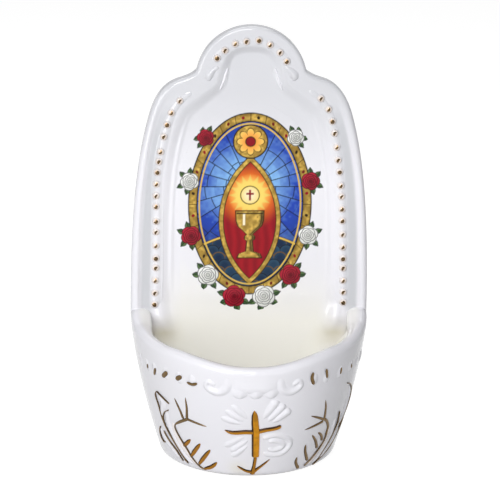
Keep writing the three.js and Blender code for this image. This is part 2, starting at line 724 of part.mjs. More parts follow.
for (const { name, sign } of SIDES) {
  add(`bead_band_${name}`, sideBand(sign), glaze);
  add(`neck_scroll_${name}`, neckScroll(sign), glaze);
  add(`rim_scroll_${name}`, rimScroll(sign), glaze);
  for (let i = 0; i < RIM_BEADS; i++) {
    const turn = lerp(RIM_BEAD_TURNS.from, RIM_BEAD_TURNS.to, i / (RIM_BEADS - 1));
    add(`rim_bead_${name}_${i + 1}`, rimBead(sign * turn), glaze);
  }
  add(`ray_upper_${name}`, fan(UPPER_RAYS, sign, RAY_WIDTH, RAY_HEIGHT, flute), glaze);
  add(`ray_lower_${name}`, fan(LOWER_RAYS, sign, RAY_WIDTH, RAY_HEIGHT, flute), glaze);
  const stem = panelRidge(WHEAT_STEM, sign, 12, WHEAT_STEM_WIDTH, WHEAT_HEIGHT, spindle);
  add(`wheat_stem_${name}`, stem, glaze);
  WHEAT_GRAINS.forEach((places, i) => {
    const grain = panelRidge(places, sign, 6, GRAIN_WIDTH, WHEAT_HEIGHT, spindle);
    add(`wheat_grain_${name}_${i + 1}`, grain, gold);
  });
  add(`wheat_tuft_${name}`, fan(WHEAT_TUFT, sign, TUFT_WIDTH, WHEAT_HEIGHT, spindle), gold);
  for (const [spot, places] of Object.entries(LEAVES)) {
    const leaf = panelRidge(places, sign, 10, LEAF_WIDTH, LEAF_HEIGHT, spindle);
    add(`leaf_${spot}_${name}`, leaf, glaze);
  }
}

export default group;
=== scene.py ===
"""A holy water stoup in white glazed ceramic with gold lustre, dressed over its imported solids.

Sizes are in millimetres, as in the part's source, and become metres where a mesh is written.
The front faces -Y, and places on the bowl are [degrees round from the front, height].
"""

import math

import bmesh
import bpy
import numpy as np
from mathutils import Matrix, Vector


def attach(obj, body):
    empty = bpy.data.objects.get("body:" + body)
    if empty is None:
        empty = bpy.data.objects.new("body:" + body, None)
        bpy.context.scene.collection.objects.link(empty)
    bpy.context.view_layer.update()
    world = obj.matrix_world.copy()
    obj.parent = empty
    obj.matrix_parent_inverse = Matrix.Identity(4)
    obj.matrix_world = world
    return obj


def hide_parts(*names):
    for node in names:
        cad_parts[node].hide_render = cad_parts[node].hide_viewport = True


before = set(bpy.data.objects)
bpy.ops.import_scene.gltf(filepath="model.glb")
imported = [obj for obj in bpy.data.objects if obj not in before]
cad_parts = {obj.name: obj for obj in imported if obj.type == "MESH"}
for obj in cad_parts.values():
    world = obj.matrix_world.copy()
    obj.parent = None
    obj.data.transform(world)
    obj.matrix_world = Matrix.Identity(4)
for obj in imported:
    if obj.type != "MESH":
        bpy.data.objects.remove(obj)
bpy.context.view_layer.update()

MM = 0.001
DOUBLE_GAP = 0.01  # points of a piece closer than this are one point

# Sizes shared with the solids
HEIGHT = 200.0
HALF_WIDTH = 54.2
BACK_Y = 31.0
FIELD_Y = 24.0
BACK_ROUND = 3.6
CREST_RADIUS = 25.0
CREST_FOOT_ANGLE = 13.4
NECK = (32.5, HEIGHT - 24.2)
SHOULDER = (HALF_WIDTH - 8.7, HEIGHT - 40.0)
SIDE_LEAN = 16.4
SHOULDER_SLOPE = 17.4
SIDE_EASE = (44.0, 22.0)  # lengths of the outline's curve handles, at the start and the end
SHOULDER_EASE = (7.6, 7.6)
NECK_EASE = (3.6, 2.4)
SIDE_BORDER = 19.0
CREST_BORDER = 10.8
SHOULDER_BORDER = (16.0, 7.0)
NECK_BORDER = (12.5, 9.8)
CREST_FOOT_BORDER = (11.7, 6.8)
FOOT_BORDER = 8.0
EDGE_HEIGHT = 0.6
SLOT = {"width": 8.0, "length": 16.0, "depth": 5.0, "middle": HEIGHT - 34.0}
RIM_REACH = 55.0
BASE_SIDE_INSET = 14.2
BASE_FRONT_INSET = 17.0
WALL_SWELL = 1.0
FLARE_POWER = 1.45
FOOT_RADIUS = 3.0
WALL = 5.0
FLOOR = 6.0
INNER_RADIUS = 9.0
LIP_RADIUS = 3.0
RIM_FRONT = 57.8
RIM_SIDE = 62.0
RIM_BACK = 66.0
RIM_DIP_TURNS = (4, 45)  # degrees between which the rim climbs out of its dip at the front
RIM_RISE_TURNS = (45, 90)

# Finer forms of the bowl
LIP_BLEND = 14.0  # height below the lip over which the outer wall draws out to it
INNER_LIP_BLEND = 10.0
RIM_CORNER = 3.2  # how much wider the rim is where it meets the plate
RIM_CORNER_TURNS = (60, 84)
SWEEP_REACH = (2.0, 14.0)  # distances from the plate between which the rim sweeps up into the border
SWEEP_HEIGHT = 3.0
CORNER_RADIUS = 9.0  # the round corner between the inner wall and the plate
CORNER_ROWS = 9  # rows below the lip over which the corner reaches its radius
BOWL_STEPS = 160
BASE_SHARES = (0.5, 0.97)
FOOT_ROWS = 9
WALL_ROWS = 40
LIP_ROWS = 21
INNER_WALL_ROWS = 24
FILLET_ROWS = 11
FLOOR_SHARES = (0.6, 0.25)
INNER_ROWS = INNER_WALL_ROWS - 1 + FILLET_ROWS - 1 + len(FLOOR_SHARES) + 1  # from the lip to the middle
POLE_GAP = 0.002  # points of the base's and the floor's middle lie within this

# Finer forms of the plate
LAND_POINTS = 24  # points of the outline: beside the bowl, then up to the crest
SIDE_POINTS = 70
SHOULDER_POINTS = 26
NECK_POINTS = 16
CREST_POINTS = 32
NECK_INNER_WAY = 135.0
ARCH_EASE = (10.8, 10.8)
LIP_TOP = 0.14  # the lip's top, as a share of the border's width
LIP_SPREAD = 0.08
LIP_HEIGHT = 2.9
CHANNEL_HEIGHT = 1.7
CREST_HEIGHT = 2.3
CREST_MELT = (146, 176)  # heights between which lip and channel melt into one slope
FALL = (0.66, 0.98)  # shares between which the border falls to the field
CREST_FALL = (0.06, 0.2)  # how much further in these lie at the crest
INNER_RIDGE = {"height": 0.5, "share": (0.97, 0.05), "starts": (70, 92), "ends": (146, 166)}
KNOB = {"height": 2.2, "share": (0.78, 0.22), "z": (63, 4.5)}  # middles and widths
BORDER_END = (65.0, 57.0)  # heights where the lip and the beads' band run out over the bowl's rim
BORDER_END_SHARES = (0.3, 0.5)  # shares between which the one height passes into the other
BORDER_END_ROUND = 5.0
LIP_END = (-1.0, 3.0)  # heights over the rim between which the lip's edge starts
EDGE_ROWS = 9
EDGE_SHARES = (0.35, 0.7, 1.0)
LIP_SHARES = LIP_TOP * (1 - np.cos(np.linspace(0, math.pi / 2, 11)[1:]))
CHANNEL_SHARES = np.linspace(LIP_TOP, 0.4, 12)[1:]
SLOPE_SHARES = np.linspace(0.4, 1.18, 36)[1:]
SLOT_END = 0.49  # the slot's end radius, as a share of its width: just under half
SLOT_PAST = 4.0  # how far its cutter stands out of the back


def smoothstep(x, low, high):
    t = np.clip((np.asarray(x, float) - low) / (high - low), 0, 1)
    return t * t * (3 - 2 * t)


# Working with operators


def deselect():
    if bpy.context.object and bpy.context.object.mode != "OBJECT":
        bpy.ops.object.mode_set(mode="OBJECT")
    bpy.ops.object.select_all(action="DESELECT")


def only(*pieces):
    deselect()
    for piece in pieces:
        piece.select_set(True)
    bpy.context.view_layer.objects.active = pieces[0]


def begin(add, **sizes):
    """Adds a primitive at the origin and returns it, alone in the selection."""
    deselect()
    add(location=(0, 0, 0), **sizes)
    return bpy.context.object


def edit(piece):
    only(piece)
    bpy.ops.object.mode_set(mode="EDIT")
    bpy.ops.mesh.select_all(action="SELECT")


def join(name, pieces):
    only(*pieces)
    if len(pieces) > 1:
        bpy.ops.object.join()
    joined = bpy.context.object
    joined.name = joined.data.name = name
    return joined


def points_of(piece):
    co = np.empty(len(piece.data.vertices) * 3)
    piece.data.vertices.foreach_get("co", co)
    return co.reshape(-1, 3)


def place(piece, points):
    """Moves the mesh's points, given in millimetres."""
    piece.data.vertices.foreach_set("co", (np.asarray(points) * MM).ravel())
    piece.data.update()


def close_and_smooth(piece, angle):
    """Merges doubles, turns the faces outwards and smooths across edges less sharp than an angle."""
    edit(piece)
    bpy.ops.mesh.remove_doubles(threshold=DOUBLE_GAP * MM)
    bpy.ops.mesh.normals_make_consistent(inside=False)
    bpy.ops.object.mode_set(mode="OBJECT")
    bpy.ops.object.shade_smooth_by_angle(angle=math.radians(angle))


def dress(piece, material, slot, *nodes):
    """Gives a finished piece its material and its place in the assembly."""
    piece.data.materials.clear()
    piece.data.materials.append(material)
    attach(piece, "root")
    if nodes:
        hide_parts(*nodes)


# The bowl's form


def rim_height(turn):
    """Height of the lip's top at degrees round from the front."""
    away = np.abs(turn)
    dip = smoothstep(away, *RIM_DIP_TURNS)
    rise = smoothstep(away, *RIM_RISE_TURNS)
    from_plate = RIM_REACH * np.cos(np.radians(turn))
    sweep = SWEEP_HEIGHT * (1 - smoothstep(from_plate, *SWEEP_REACH))
    return RIM_FRONT + (RIM_SIDE - RIM_FRONT) * dip + (RIM_BACK - RIM_SIDE) * rise + sweep


def foot_inset(z):
    """How far the foot's rounding draws the wall in at a height."""
    low = np.clip(FOOT_RADIUS - z, 0, FOOT_RADIUS)
    return FOOT_RADIUS - np.sqrt(FOOT_RADIUS**2 - low**2)


def flared(z):
    """Half-axes of the wall's outside at a height, before the lip: across, and forward from the plate."""
    flare = np.clip(1 - z / RIM_BACK, 0, 1) ** FLARE_POWER
    across = HALF_WIDTH - BASE_SIDE_INSET * flare - foot_inset(z)
    forward = RIM_REACH + WALL_SWELL - (BASE_FRONT_INSET + WALL_SWELL) * flare - foot_inset(z)
    return across, forward


def drawn_out(turn, z, height):
    """The half-axes, drawn out softly to the lip's front over a height below it, and the share of that."""
    lip = rim_height(turn) - LIP_RADIUS
    near = smoothstep(z, lip - height, lip)
    across, forward = flared(z)
    lip_across, lip_forward = flared(lip)
    return across + (HALF_WIDTH - lip_across) * near, forward + (RIM_REACH - lip_forward) * near, near


def outside(turn, z):
    """The outer wall's half-axes."""
    return drawn_out(turn, z, LIP_BLEND)[:2]


def rim_extra(turn):
    return RIM_CORNER * smoothstep(np.abs(turn), *RIM_CORNER_TURNS)


def inside(turn, z):
    """The inner wall's half-axes: the wall thickens to the lip's width."""
    across, forward, near = drawn_out(turn, z, INNER_LIP_BLEND)
    thick = WALL + (2 * LIP_RADIUS + rim_extra(turn) - WALL) * near
    return across - thick, forward - thick


def at_turn(turn, across, forward, z):
    angle = np.radians(turn)
    return np.stack([across * np.sin(angle), FIELD_Y - forward * np.cos(angle), z + 0 * angle], -1)


def on_wall(turn, z, lift):
    """Points at a lift over the bowl's outer wall."""
    turn, z = np.broadcast_arrays(np.asarray(turn, float), np.asarray(z, float))
    step = 0.05

    def spot(t, h):
        return at_turn(t, *outside(t, h), h)

    here = spot(turn, z)
    out = np.cross(spot(turn + step, z) - here, spot(turn, z + step) - here)
    out /= np.linalg.norm(out, axis=-1, keepdims=True)
    return here + out * np.asarray(lift)[..., None]


def bowl_section(turn):
    """One upright section of the bowl as rows of half-axes and height, from the base to the floor."""
    quarter = math.pi / 2
    rows = [(0.0, 0.0, 0.0)]
    base_across, base_forward = flared(0.0)
    for share in BASE_SHARES:
        rows.append((share * base_across, share * base_forward, 0.0))
    for angle in np.linspace(0, quarter, FOOT_ROWS)[:-1]:
        z = FOOT_RADIUS * (1 - math.cos(angle))
        rows.append((*flared(z), z))
    lip = rim_height(turn) - LIP_RADIUS
    for z in np.linspace(FOOT_RADIUS, lip, WALL_ROWS)[:-1]:
        rows.append((*outside(turn, z), z))
    for angle in np.linspace(0, math.pi, LIP_ROWS):
        back = LIP_RADIUS * (1 - math.cos(angle)) + rim_extra(turn) * max(0, -math.cos(angle))
        rows.append((HALF_WIDTH - back, RIM_REACH - back, lip + LIP_RADIUS * math.sin(angle)))
    fillet = FLOOR + INNER_RADIUS
    for z in np.linspace(lip, fillet, INNER_WALL_ROWS)[1:]:
        rows.append((*inside(turn, z), z))
    across, forward = inside(turn, fillet)
    for angle in np.linspace(0, quarter, FILLET_ROWS)[1:]:
        inset = INNER_RADIUS * (1 - math.cos(angle))
        rows.append((across - inset, forward - inset, fillet - INNER_RADIUS * math.sin(angle)))
    for share in FLOOR_SHARES:
        rows.append((share * (across - INNER_RADIUS), share * (forward - INNER_RADIUS), FLOOR))
    rows.append((0.0, 0.0, FLOOR))
    return np.array(rows, float)


def rounded_corner(turn, across, forward, radius):
    """Plan of the inner wall, which turns into the plate in a round corner of the given radius."""
    angle = np.radians(turn)
    x, y = across * np.sin(angle), forward * np.cos(angle)
    radius = np.maximum(radius, 1e-6)
    start = np.arccos(np.clip(radius / np.maximum(forward, 1e-6), 0, 1))
    share = np.clip((np.abs(angle) - start) / (math.pi / 2 - start), 0, 1) * math.pi / 2
    corner = across * np.sin(start) - radius * (1 - np.cos(share))
    bent = np.abs(angle) > start
    x = np.where(bent, np.sign(angle) * corner, x)
    y = np.where(bent, radius * (1 - np.sin(share)), y)
    return x, y


def spin_section(section):
    """A profile drawn by extruding one point, and spun half round."""
    piece = begin(bpy.ops.mesh.primitive_plane_add, size=1 * MM)
    edit(piece)
    bpy.ops.mesh.merge(type="CENTER")
    bpy.ops.transform.translate(value=(section[0][1] * MM, 0, section[0][2] * MM))
    for before, after in zip(section[:-1], section[1:]):
        step = ((after[1] - before[1]) * MM, 0, (after[2] - before[2]) * MM)
        bpy.ops.mesh.extrude_vertices_move(TRANSFORM_OT_translate={"value": step})
    bpy.ops.mesh.select_all(action="SELECT")
    bpy.ops.mesh.spin(steps=BOWL_STEPS, angle=math.pi, center=(0, 0, 0), axis=(0, 0, 1))
    bpy.ops.object.mode_set(mode="OBJECT")
    return piece


def make_bowl():
    """The front's section spun round, with each section drawn to its own rim, and the open side closed."""
    drawn = bowl_section(0.0)
    piece = spin_section(drawn)
    spun = points_of(piece) / MM
    reach = np.hypot(spun[:, 0], spun[:, 1])
    row = np.argmin((reach[:, None] - drawn[:, 1]) ** 2 + (spun[:, 2:] - drawn[:, 2]) ** 2, axis=1)
    turn = np.degrees(np.arctan2(spun[:, 0], -spun[:, 1]))
    turn = np.clip(np.round(turn * BOWL_STEPS / 180) * 180 / BOWL_STEPS, -90, 90)
    lip_inner = len(drawn) - INNER_ROWS
    points = np.empty_like(spun)
    for each in np.unique(turn):
        here = turn == each
        across, forward, z = bowl_section(each)[row[here]].T
        radius = CORNER_RADIUS * smoothstep(row[here] - lip_inner, 0, CORNER_ROWS)
        x, y = rounded_corner(each, across, forward, np.minimum(radius, 0.5 * forward))
        points[here] = np.stack([x, FIELD_Y - y, z], 1)
    place(piece, points)
    edit(piece)
    bpy.ops.mesh.remove_doubles(threshold=POLE_GAP * MM)
    bpy.ops.mesh.select_all(action="DESELECT")
    bpy.ops.mesh.select_non_manifold()
    bpy.ops.mesh.fill()
    close_and_smooth(piece, 60)
    piece.name = piece.data.name = "bowl_glazed"
    return piece


# The plate's form


def heading(way):
    """The unit vector along a way in degrees."""
    return np.array([math.cos(math.radians(way)), math.sin(math.radians(way))])


def bezier(p, way_p, q, way_q, ease, steps):
    """Points of a curve from p to q that leaves and arrives along the given ways; q itself is left out."""
    p, q = np.array(p), np.array(q)
    a = p + ease[0] * heading(way_p)
    b = q - ease[1] * heading(way_q)
    t = np.linspace(0, 1, steps + 1)[:-1, None]
    return (1 - t) ** 3 * p + 3 * (1 - t) ** 2 * t * a + 3 * (1 - t) * t**2 * b + t**3 * q


def inward(spot, border):
    return spot[0] - border[0], spot[1] - border[1]


def border_lines():
    """The border's outer and inner lines on the right, from the base's middle to the crest's."""
    crest_z = HEIGHT - CREST_RADIUS
    rise = math.radians(CREST_FOOT_ANGLE)
    crest_foot = (CREST_RADIUS * math.cos(rise), crest_z + CREST_RADIUS * math.sin(rise))
    rim_outer = (HALF_WIDTH, RIM_BACK)
    rim_inner = (HALF_WIDTH - SIDE_BORDER, RIM_BACK)
    shoulder_inner = inward(SHOULDER, SHOULDER_BORDER)
    neck_inner = inward(NECK, NECK_BORDER)
    arch_foot = inward(crest_foot, CREST_FOOT_BORDER)
    arch_top = (0.0, HEIGHT - CREST_BORDER)
    side, slope, crest = 90 + SIDE_LEAN, 180 - SHOULDER_SLOPE, 90 + CREST_FOOT_ANGLE
    share = np.linspace(0, 1, LAND_POINTS + 1)[:-1] ** 2
    land_z = RIM_BACK * share
    land_foot = np.array([flared(0.0)[0] - SIDE_BORDER, FOOT_BORDER])
    land_inner = land_foot + (np.array(rim_inner) - land_foot) * share[:, None]
    arc = np.linspace(rise, math.pi / 2, CREST_POINTS + 1)
    outer = [
        np.array([[0.0, 0.0]]),
        np.stack([flared(land_z)[0], land_z], 1),
        bezier(rim_outer, 90, SHOULDER, side, SIDE_EASE, SIDE_POINTS),
        bezier(SHOULDER, side, NECK, slope, SHOULDER_EASE, SHOULDER_POINTS),
        bezier(NECK, slope, crest_foot, crest, NECK_EASE, NECK_POINTS),
        np.stack([CREST_RADIUS * np.cos(arc), crest_z + CREST_RADIUS * np.sin(arc)], 1),
    ]
    inner = [
        np.array([[0.0, FOOT_BORDER]]),
        land_inner,
        bezier(rim_inner, 90, shoulder_inner, side, SIDE_EASE, SIDE_POINTS),
        bezier(shoulder_inner, side, neck_inner, NECK_INNER_WAY, SHOULDER_EASE, SHOULDER_POINTS),
        bezier(neck_inner, NECK_INNER_WAY, arch_foot, crest, NECK_EASE, NECK_POINTS),
        bezier(arch_foot, crest, arch_top, 180, ARCH_EASE, CREST_POINTS),
        np.array([arch_top]),
    ]
    return np.concatenate(outer), np.concatenate(inner)


BORDER_OUTER, BORDER_INNER = border_lines()


def swell(x, middle, width):
    """A soft hump, 1 at its middle."""
    return np.exp(-(((x - middle) / width) ** 2))


def border_height(share, z):
    """Height over the field at a share of the border's width: lip, channel and inner ridge.

    Towards the crest they melt into one soft slope, and a knob stands at the foot.
    """
    crest = smoothstep(z, *CREST_MELT)
    lip = LIP_HEIGHT + (CREST_HEIGHT - LIP_HEIGHT) * crest
    channel = CHANNEL_HEIGHT + (CREST_HEIGHT - CHANNEL_HEIGHT) * crest
    if share < LIP_TOP:
        rise = math.sqrt(1 - (1 - share / LIP_TOP) ** 2)
        return EDGE_HEIGHT + (lip - EDGE_HEIGHT) * rise
    level = channel + (lip - channel) * swell(share, LIP_TOP, LIP_SPREAD)
    level *= 1 - smoothstep(share, FALL[0] + CREST_FALL[0] * crest, FALL[1] + CREST_FALL[1] * crest)
    shown = smoothstep(z, *INNER_RIDGE["starts"]) * (1 - smoothstep(z, *INNER_RIDGE["ends"]))
    inner = INNER_RIDGE["height"] * swell(share, *INNER_RIDGE["share"]) * shown
    knob = KNOB["height"] * swell(share, *KNOB["share"]) * swell(z, *KNOB["z"])
    return level + inner + knob


def ring(flat, y):
    return np.stack([flat[:, 0], y + 0 * flat[:, 0], flat[:, 1]], 1)


def plate_rings():
    """Rings of points from the flat back round the edge and across the border to the field."""
    flip = np.array([-1, 1])
    outer = np.concatenate([BORDER_OUTER, BORDER_OUTER[-2:0:-1] * flip])
    inner = np.concatenate([BORDER_INNER, BORDER_INNER[-2:0:-1] * flip])
    way_in = inner - outer
    way_in /= np.linalg.norm(way_in, axis=1, keepdims=True)
    lip_end = smoothstep(outer[:, 1], RIM_BACK + LIP_END[0], RIM_BACK + LIP_END[1])
    edge_front = FIELD_Y - EDGE_HEIGHT * lip_end
    rings = []
    for angle in np.linspace(0, math.pi / 2, EDGE_ROWS):
        flat = outer + way_in * BACK_ROUND * (1 - math.sin(angle))
        rings.append(ring(flat, BACK_Y - BACK_ROUND * (1 - math.cos(angle))))
    for share in EDGE_SHARES:
        rings.append(ring(outer, BACK_Y - BACK_ROUND + share * (edge_front - BACK_Y + BACK_ROUND)))
    for share in np.concatenate([LIP_SHARES, CHANNEL_SHARES, SLOPE_SHARES]):
        flat = outer + (inner - outer) * share
        z = flat[:, 1]
        end = BORDER_END[0] + (BORDER_END[1] - BORDER_END[0]) * smoothstep(share, *BORDER_END_SHARES)
        drop = np.clip((end + BORDER_END_ROUND - z) / BORDER_END_ROUND, 0, 1)
        rings.append(ring(flat, FIELD_Y - border_height(share, z) * np.sqrt(1 - drop**2)))
    return rings


def make_plate():
    """A circle drawn to the first ring, extruded ring by ring, and closed at the back and the field."""
    first, *others = plate_rings()
    piece = begin(bpy.ops.mesh.primitive_circle_add, vertices=len(first), radius=HALF_WIDTH * MM)
    edit(piece)
    mesh = bmesh.from_edit_mesh(piece.data)
    spot = mesh.verts.layers.int.new("spot")
    for i, vertex in enumerate(mesh.verts):
        vertex[spot] = i
        vertex.co = first[i] * MM
    for points in others:
        bpy.ops.mesh.extrude_edges_move()
        mesh = bmesh.from_edit_mesh(piece.data)
        spot = mesh.verts.layers.int["spot"]
        for vertex in mesh.verts:
            if vertex.select:
                vertex.co = points[vertex[spot]] * MM
    bmesh.update_edit_mesh(piece.data)
    bpy.ops.mesh.edge_face_add()
    bpy.ops.mesh.select_all(action="DESELECT")
    bpy.ops.mesh.select_non_manifold()
    bpy.ops.mesh.edge_face_add()
    close_and_smooth(piece, 50)
    piece.data.attributes.remove(piece.data.attributes["spot"])
    piece.name = piece.data.name = "plate_glazed"
    cut_nail_slot(piece)
    return piece


def cut_nail_slot(plate):
    """A block with round ends, taken out of the plate's back."""
    depth = SLOT["depth"] + SLOT_PAST
    cutter = begin(bpy.ops.mesh.primitive_cube_add, size=1)
    edit(cutter)
    bpy.ops.transform.resize(value=(SLOT["width"] * MM, depth * MM, SLOT["length"] * MM))
    middle_y = BACK_Y + SLOT_PAST - depth / 2
    bpy.ops.transform.translate(value=(0, middle_y * MM, SLOT["middle"] * MM))
    bpy.ops.mesh.select_all(action="DESELECT")
    mesh = bmesh.from_edit_mesh(cutter.data)
    for e in mesh.edges:
        way = e.verts[0].co - e.verts[1].co
        e.select_set(abs(way.y) > 0.5 * way.length)
    bmesh.update_edit_mesh(cutter.data)
    bpy.ops.mesh.bevel(offset=SLOT_END * SLOT["width"] * MM, segments=10, affect="EDGES")
    only(plate)
    cut = plate.modifiers.new("nail_slot", "BOOLEAN")
    cut.operation = "DIFFERENCE"
    cut.object = cutter
    bpy.ops.object.modifier_apply(modifier=cut.name)
    bpy.data.objects.remove(cutter)


# Ridges laid on the bowl's wall or on the plate


def wall_spot(points):
    """Degrees round and height of points that lie near the bowl's wall."""
    across, forward = flared(points[:, 2])
    turn = np.degrees(np.arctan2(points[:, 0] / across, (FIELD_Y - points[:, 1]) / forward))
    return turn, points[:, 2]


def on_plate(x, z, lift):
    return np.stack([x, FIELD_Y - lift + 0 * x, z], -1)


def plate_spot(points):
    return points[:, 0], points[:, 2]


WALL_SEAT = (on_wall, wall_spot)
PLATE_SEAT = (on_plate, plate_spot)
SIDES = [("left", -1), ("right", 1)]
SOFT = (2, 2)  # sections across a ridge: powers of its fall from the middle to the edges
ROUND = (2, 0.5)
FLAT = (4, 0.5)
LOBE = (4, 1.3)
PATH_STEPS = 240
LET_IN = 0.02  # how far a ridge is let into its seat
LEVEL = 1e-6  # where a ridge's top meets its sunk underside
DARK_SIDE = 1.5  # how strongly a stroke's edge shows on its dark side and on the other
BRIGHT_SIDE = 0.5


def smooth_path(points):
    """A curve through a few places, as many places."""
    p = np.array(points, float)
    p = np.concatenate([[2 * p[0] - p[1]], p, [2 * p[-1] - p[-2]]])
    t = np.linspace(0, len(p) - 3, PATH_STEPS + 1)
    i = np.minimum(t.astype(int), len(p) - 4)
    t = (t - i)[:, None]
    a, b, c, d = p[i], p[i + 1], p[i + 2], p[i + 3]
    return b + 0.5 * t * (c - a + t * (2 * a - 5 * b + 4 * c - d + t * (3 * (b - c) + d - a)))


def run_along(line):
    """The lengths from the start of a line to its points."""
    return np.concatenate([[0], np.cumsum(np.linalg.norm(np.diff(line, axis=0), axis=1))])


def along(values, share):
    """A size at shares of the way through a list of sizes."""
    values = np.atleast_1d(values)
    return np.interp(share, np.linspace(0, 1, len(values)), values)


def ridge_places(lay, path, base, share):
    """Points at shares of a path, the ways across it there, the lengths run so far and the whole length."""
    line = smooth_path(path)
    middle = lay(line[:, 0], line[:, 1], base + 0 * line[:, 0])
    run = run_along(middle)
    ways = np.gradient(middle, run, axis=0)
    far = share * run[-1]
    u, v = (np.interp(far, run, line[:, i]) for i in (0, 1))
    way = np.stack([np.interp(far, run, ways[:, i]) for i in range(3)], 1)
    here = lay(u, v, base + 0 * u)
    out = lay(u, v, base + 1 + 0 * u) - here
    across = np.cross(way, out)
    across /= np.linalg.norm(across, axis=1, keepdims=True)
    return here, across, far, run[-1]


def ridge(
    seat, path, width, height, section, ends=None, taper=0.5, base=0, sink=0.3, fine=(16, 28), dark=0
):
    """A ridge along a path on a seat, from a sphere whose poles become the ridge's ends.

    Width and height are single sizes or lists from the start to the end; ends are the lengths over
    which it narrows to its two ends. Dark is the side, 1 on the right of the path's way and -1 on the
    left, that alone keeps a dark edge.
    """
    lay, spot = seat
    piece = begin(bpy.ops.mesh.primitive_uv_sphere_add, segments=fine[0], ring_count=fine[1], radius=1)
    unit = points_of(piece)
    polar = np.arccos(np.clip(unit[:, 2], -1, 1))
    # Rings lie closer together towards the ends.
    share = 0.5 * polar / math.pi + 0.25 * (1 - np.cos(polar))
    here, across, far, length = ridge_places(lay, path, base, share)
    half = along(width, share) / 2
    first, last = ends or (half[np.argmin(share)], half[np.argmax(share)])
    to_end = np.minimum(far / first, (length - far) / last)
    size = np.clip(1 - (1 - np.clip(to_end, 0, 1)) ** 2, 0, 1) ** taper
    round_it = np.arctan2(unit[:, 1], unit[:, 0])
    side, up = np.cos(round_it), np.sin(round_it)
    fall = (1 - np.clip(np.abs(side), 0, 1) ** section[0]) ** section[1]
    lift = np.where(up > LEVEL, along(height, share) * size * fall, sink * size * up)
    u, v = spot(here + across * (side * half * size)[:, None])
    place(piece, lay(u, v, base + lift - LET_IN))
    shown = np.abs(side)
    if dark:
        shown = shown * np.where(side * dark > 0, DARK_SIDE, BRIGHT_SIDE)
    edge = piece.data.attributes.new("edge", "FLOAT", "POINT")
    edge.data.foreach_set("value", np.where(up > -LEVEL, shown, 1))
    close_and_smooth(piece, 45)
    return piece


# The border's beads and the neck's scrolls


BEAD_RADIUS = 1.75
BEAD_HEIGHT = 1.2
BEAD_SEAT = 0.8  # how high on the band a bead's middle lies, as a share of the band's height
BAND_SHARE = 0.16  # half the band's width, as a share of the border's
BAND_SHIFT = 0.02  # how far the band's middle lies inside the beads'
BAND_PAST = (3.0, 4.0)  # how far the band runs on below its lowest bead and above its highest
BAND_HEIGHT = 0.9
BAND_FORM = {"section": SOFT, "ends": (3.4, 3.4), "sink": 1.0, "fine": (24, 120)}
BAND_POINTS = 60
CHANNEL_MIDDLE = 0.57  # share of the border's width on which the bands' heights are read
NECK_START = 24.0  # the side bands stay further out than this
CREST_BAND_WIDTH = 4.6
CREST_BAND_HEIGHT = 0.35
CAP_RADIUS = 0.98
CAP_SWELL = 1.03
CAP_LEAN = 9.0  # most degrees by which a cap nods
CAP_TURN = 1.7  # degrees that it turns aside for each degree of nod
CAP_CHANGE = 2.3  # how fast the nod changes from cap to cap
BEAD_HEIGHTS = {
    "left": [
        71, 76.5, 82.5, 88.5, 93, 99, 105.5, 110.5, 117.5, 122.5, 128, 133.5, 138.5, 143, 150, 155.5, 161,
        166.5,
    ],
    "right": [
        71.5, 76.5, 82, 88, 92.5, 98, 104, 110.5, 116, 122, 127, 133.5, 139, 145, 151.5, 157, 162.5, 167.5,
    ],
}
BEAD_SHARES = {  # height, and the beads' place as a share of the border's width
    "left": [(70, 0.57), (90, 0.60), (112, 0.575), (130, 0.505), (168, 0.505)],
    "right": [(72, 0.58), (90, 0.60), (105, 0.61), (140, 0.61), (155, 0.56), (168, 0.49)],
}
CREST_BEADS = [
    (-15.5, 186), (-12, 189.5), (-7.5, 192.5), (-2.5, 193.5), (3, 194), (8, 192), (12.5, 188.5),
    (15.5, 184.5),
]
NECK_SCROLL = {
    "boss": {
        "width": [2.4, 3.6, 5.4, 5.0], "height": [0.5, 1.0, 1.4, 1.3], "section": SOFT, "ends": (1.2, 2.4),
        "base": 2.1, "sink": 0.6, "fine": (24, 40),
    },
    "fold": {
        "width": [1.4, 2.4, 1.6], "height": 0.9, "section": SOFT, "ends": (3, 3),
        "base": 0.6, "sink": 0.9, "fine": (24, 40),
    },
}
NECK_PATHS = {
    "boss": [(14.5, 182), (17, 180.5), (19, 178), (19, 175.5)],
    "fold": [(10.5, 181), (11.5, 178), (12.5, 175), (14, 171)],
}


def bead_line(side, sign):
    """The beads' middle line up one side, the middle line of the band under them and its half width."""
    across = BORDER_INNER - BORDER_OUTER
    heights, shares = np.array(BEAD_SHARES[side]).T
    x, z = (BORDER_OUTER + CHANNEL_MIDDLE * across).T
    share = np.interp(z, heights, shares)[:, None]
    low = BEAD_HEIGHTS[side][0] - BAND_PAST[0]
    high = BEAD_HEIGHTS[side][-1] + BAND_PAST[1]
    kept = (z > low) & (z < high) & (x > NECK_START)
    flip = np.array([sign, 1])
    line = (BORDER_OUTER + share * across)[kept] * flip
    band = (BORDER_OUTER + (share + BAND_SHIFT) * across)[kept] * flip
    return line, band, BAND_SHARE * np.linalg.norm(across, axis=1)[kept]


def spread(line, count):
    """Places at even steps along a line of points."""
    run = run_along(line)
    far = np.linspace(0, run[-1], count)
    return np.stack([np.interp(far, run, line[:, i]) for i in (0, 1)], 1)


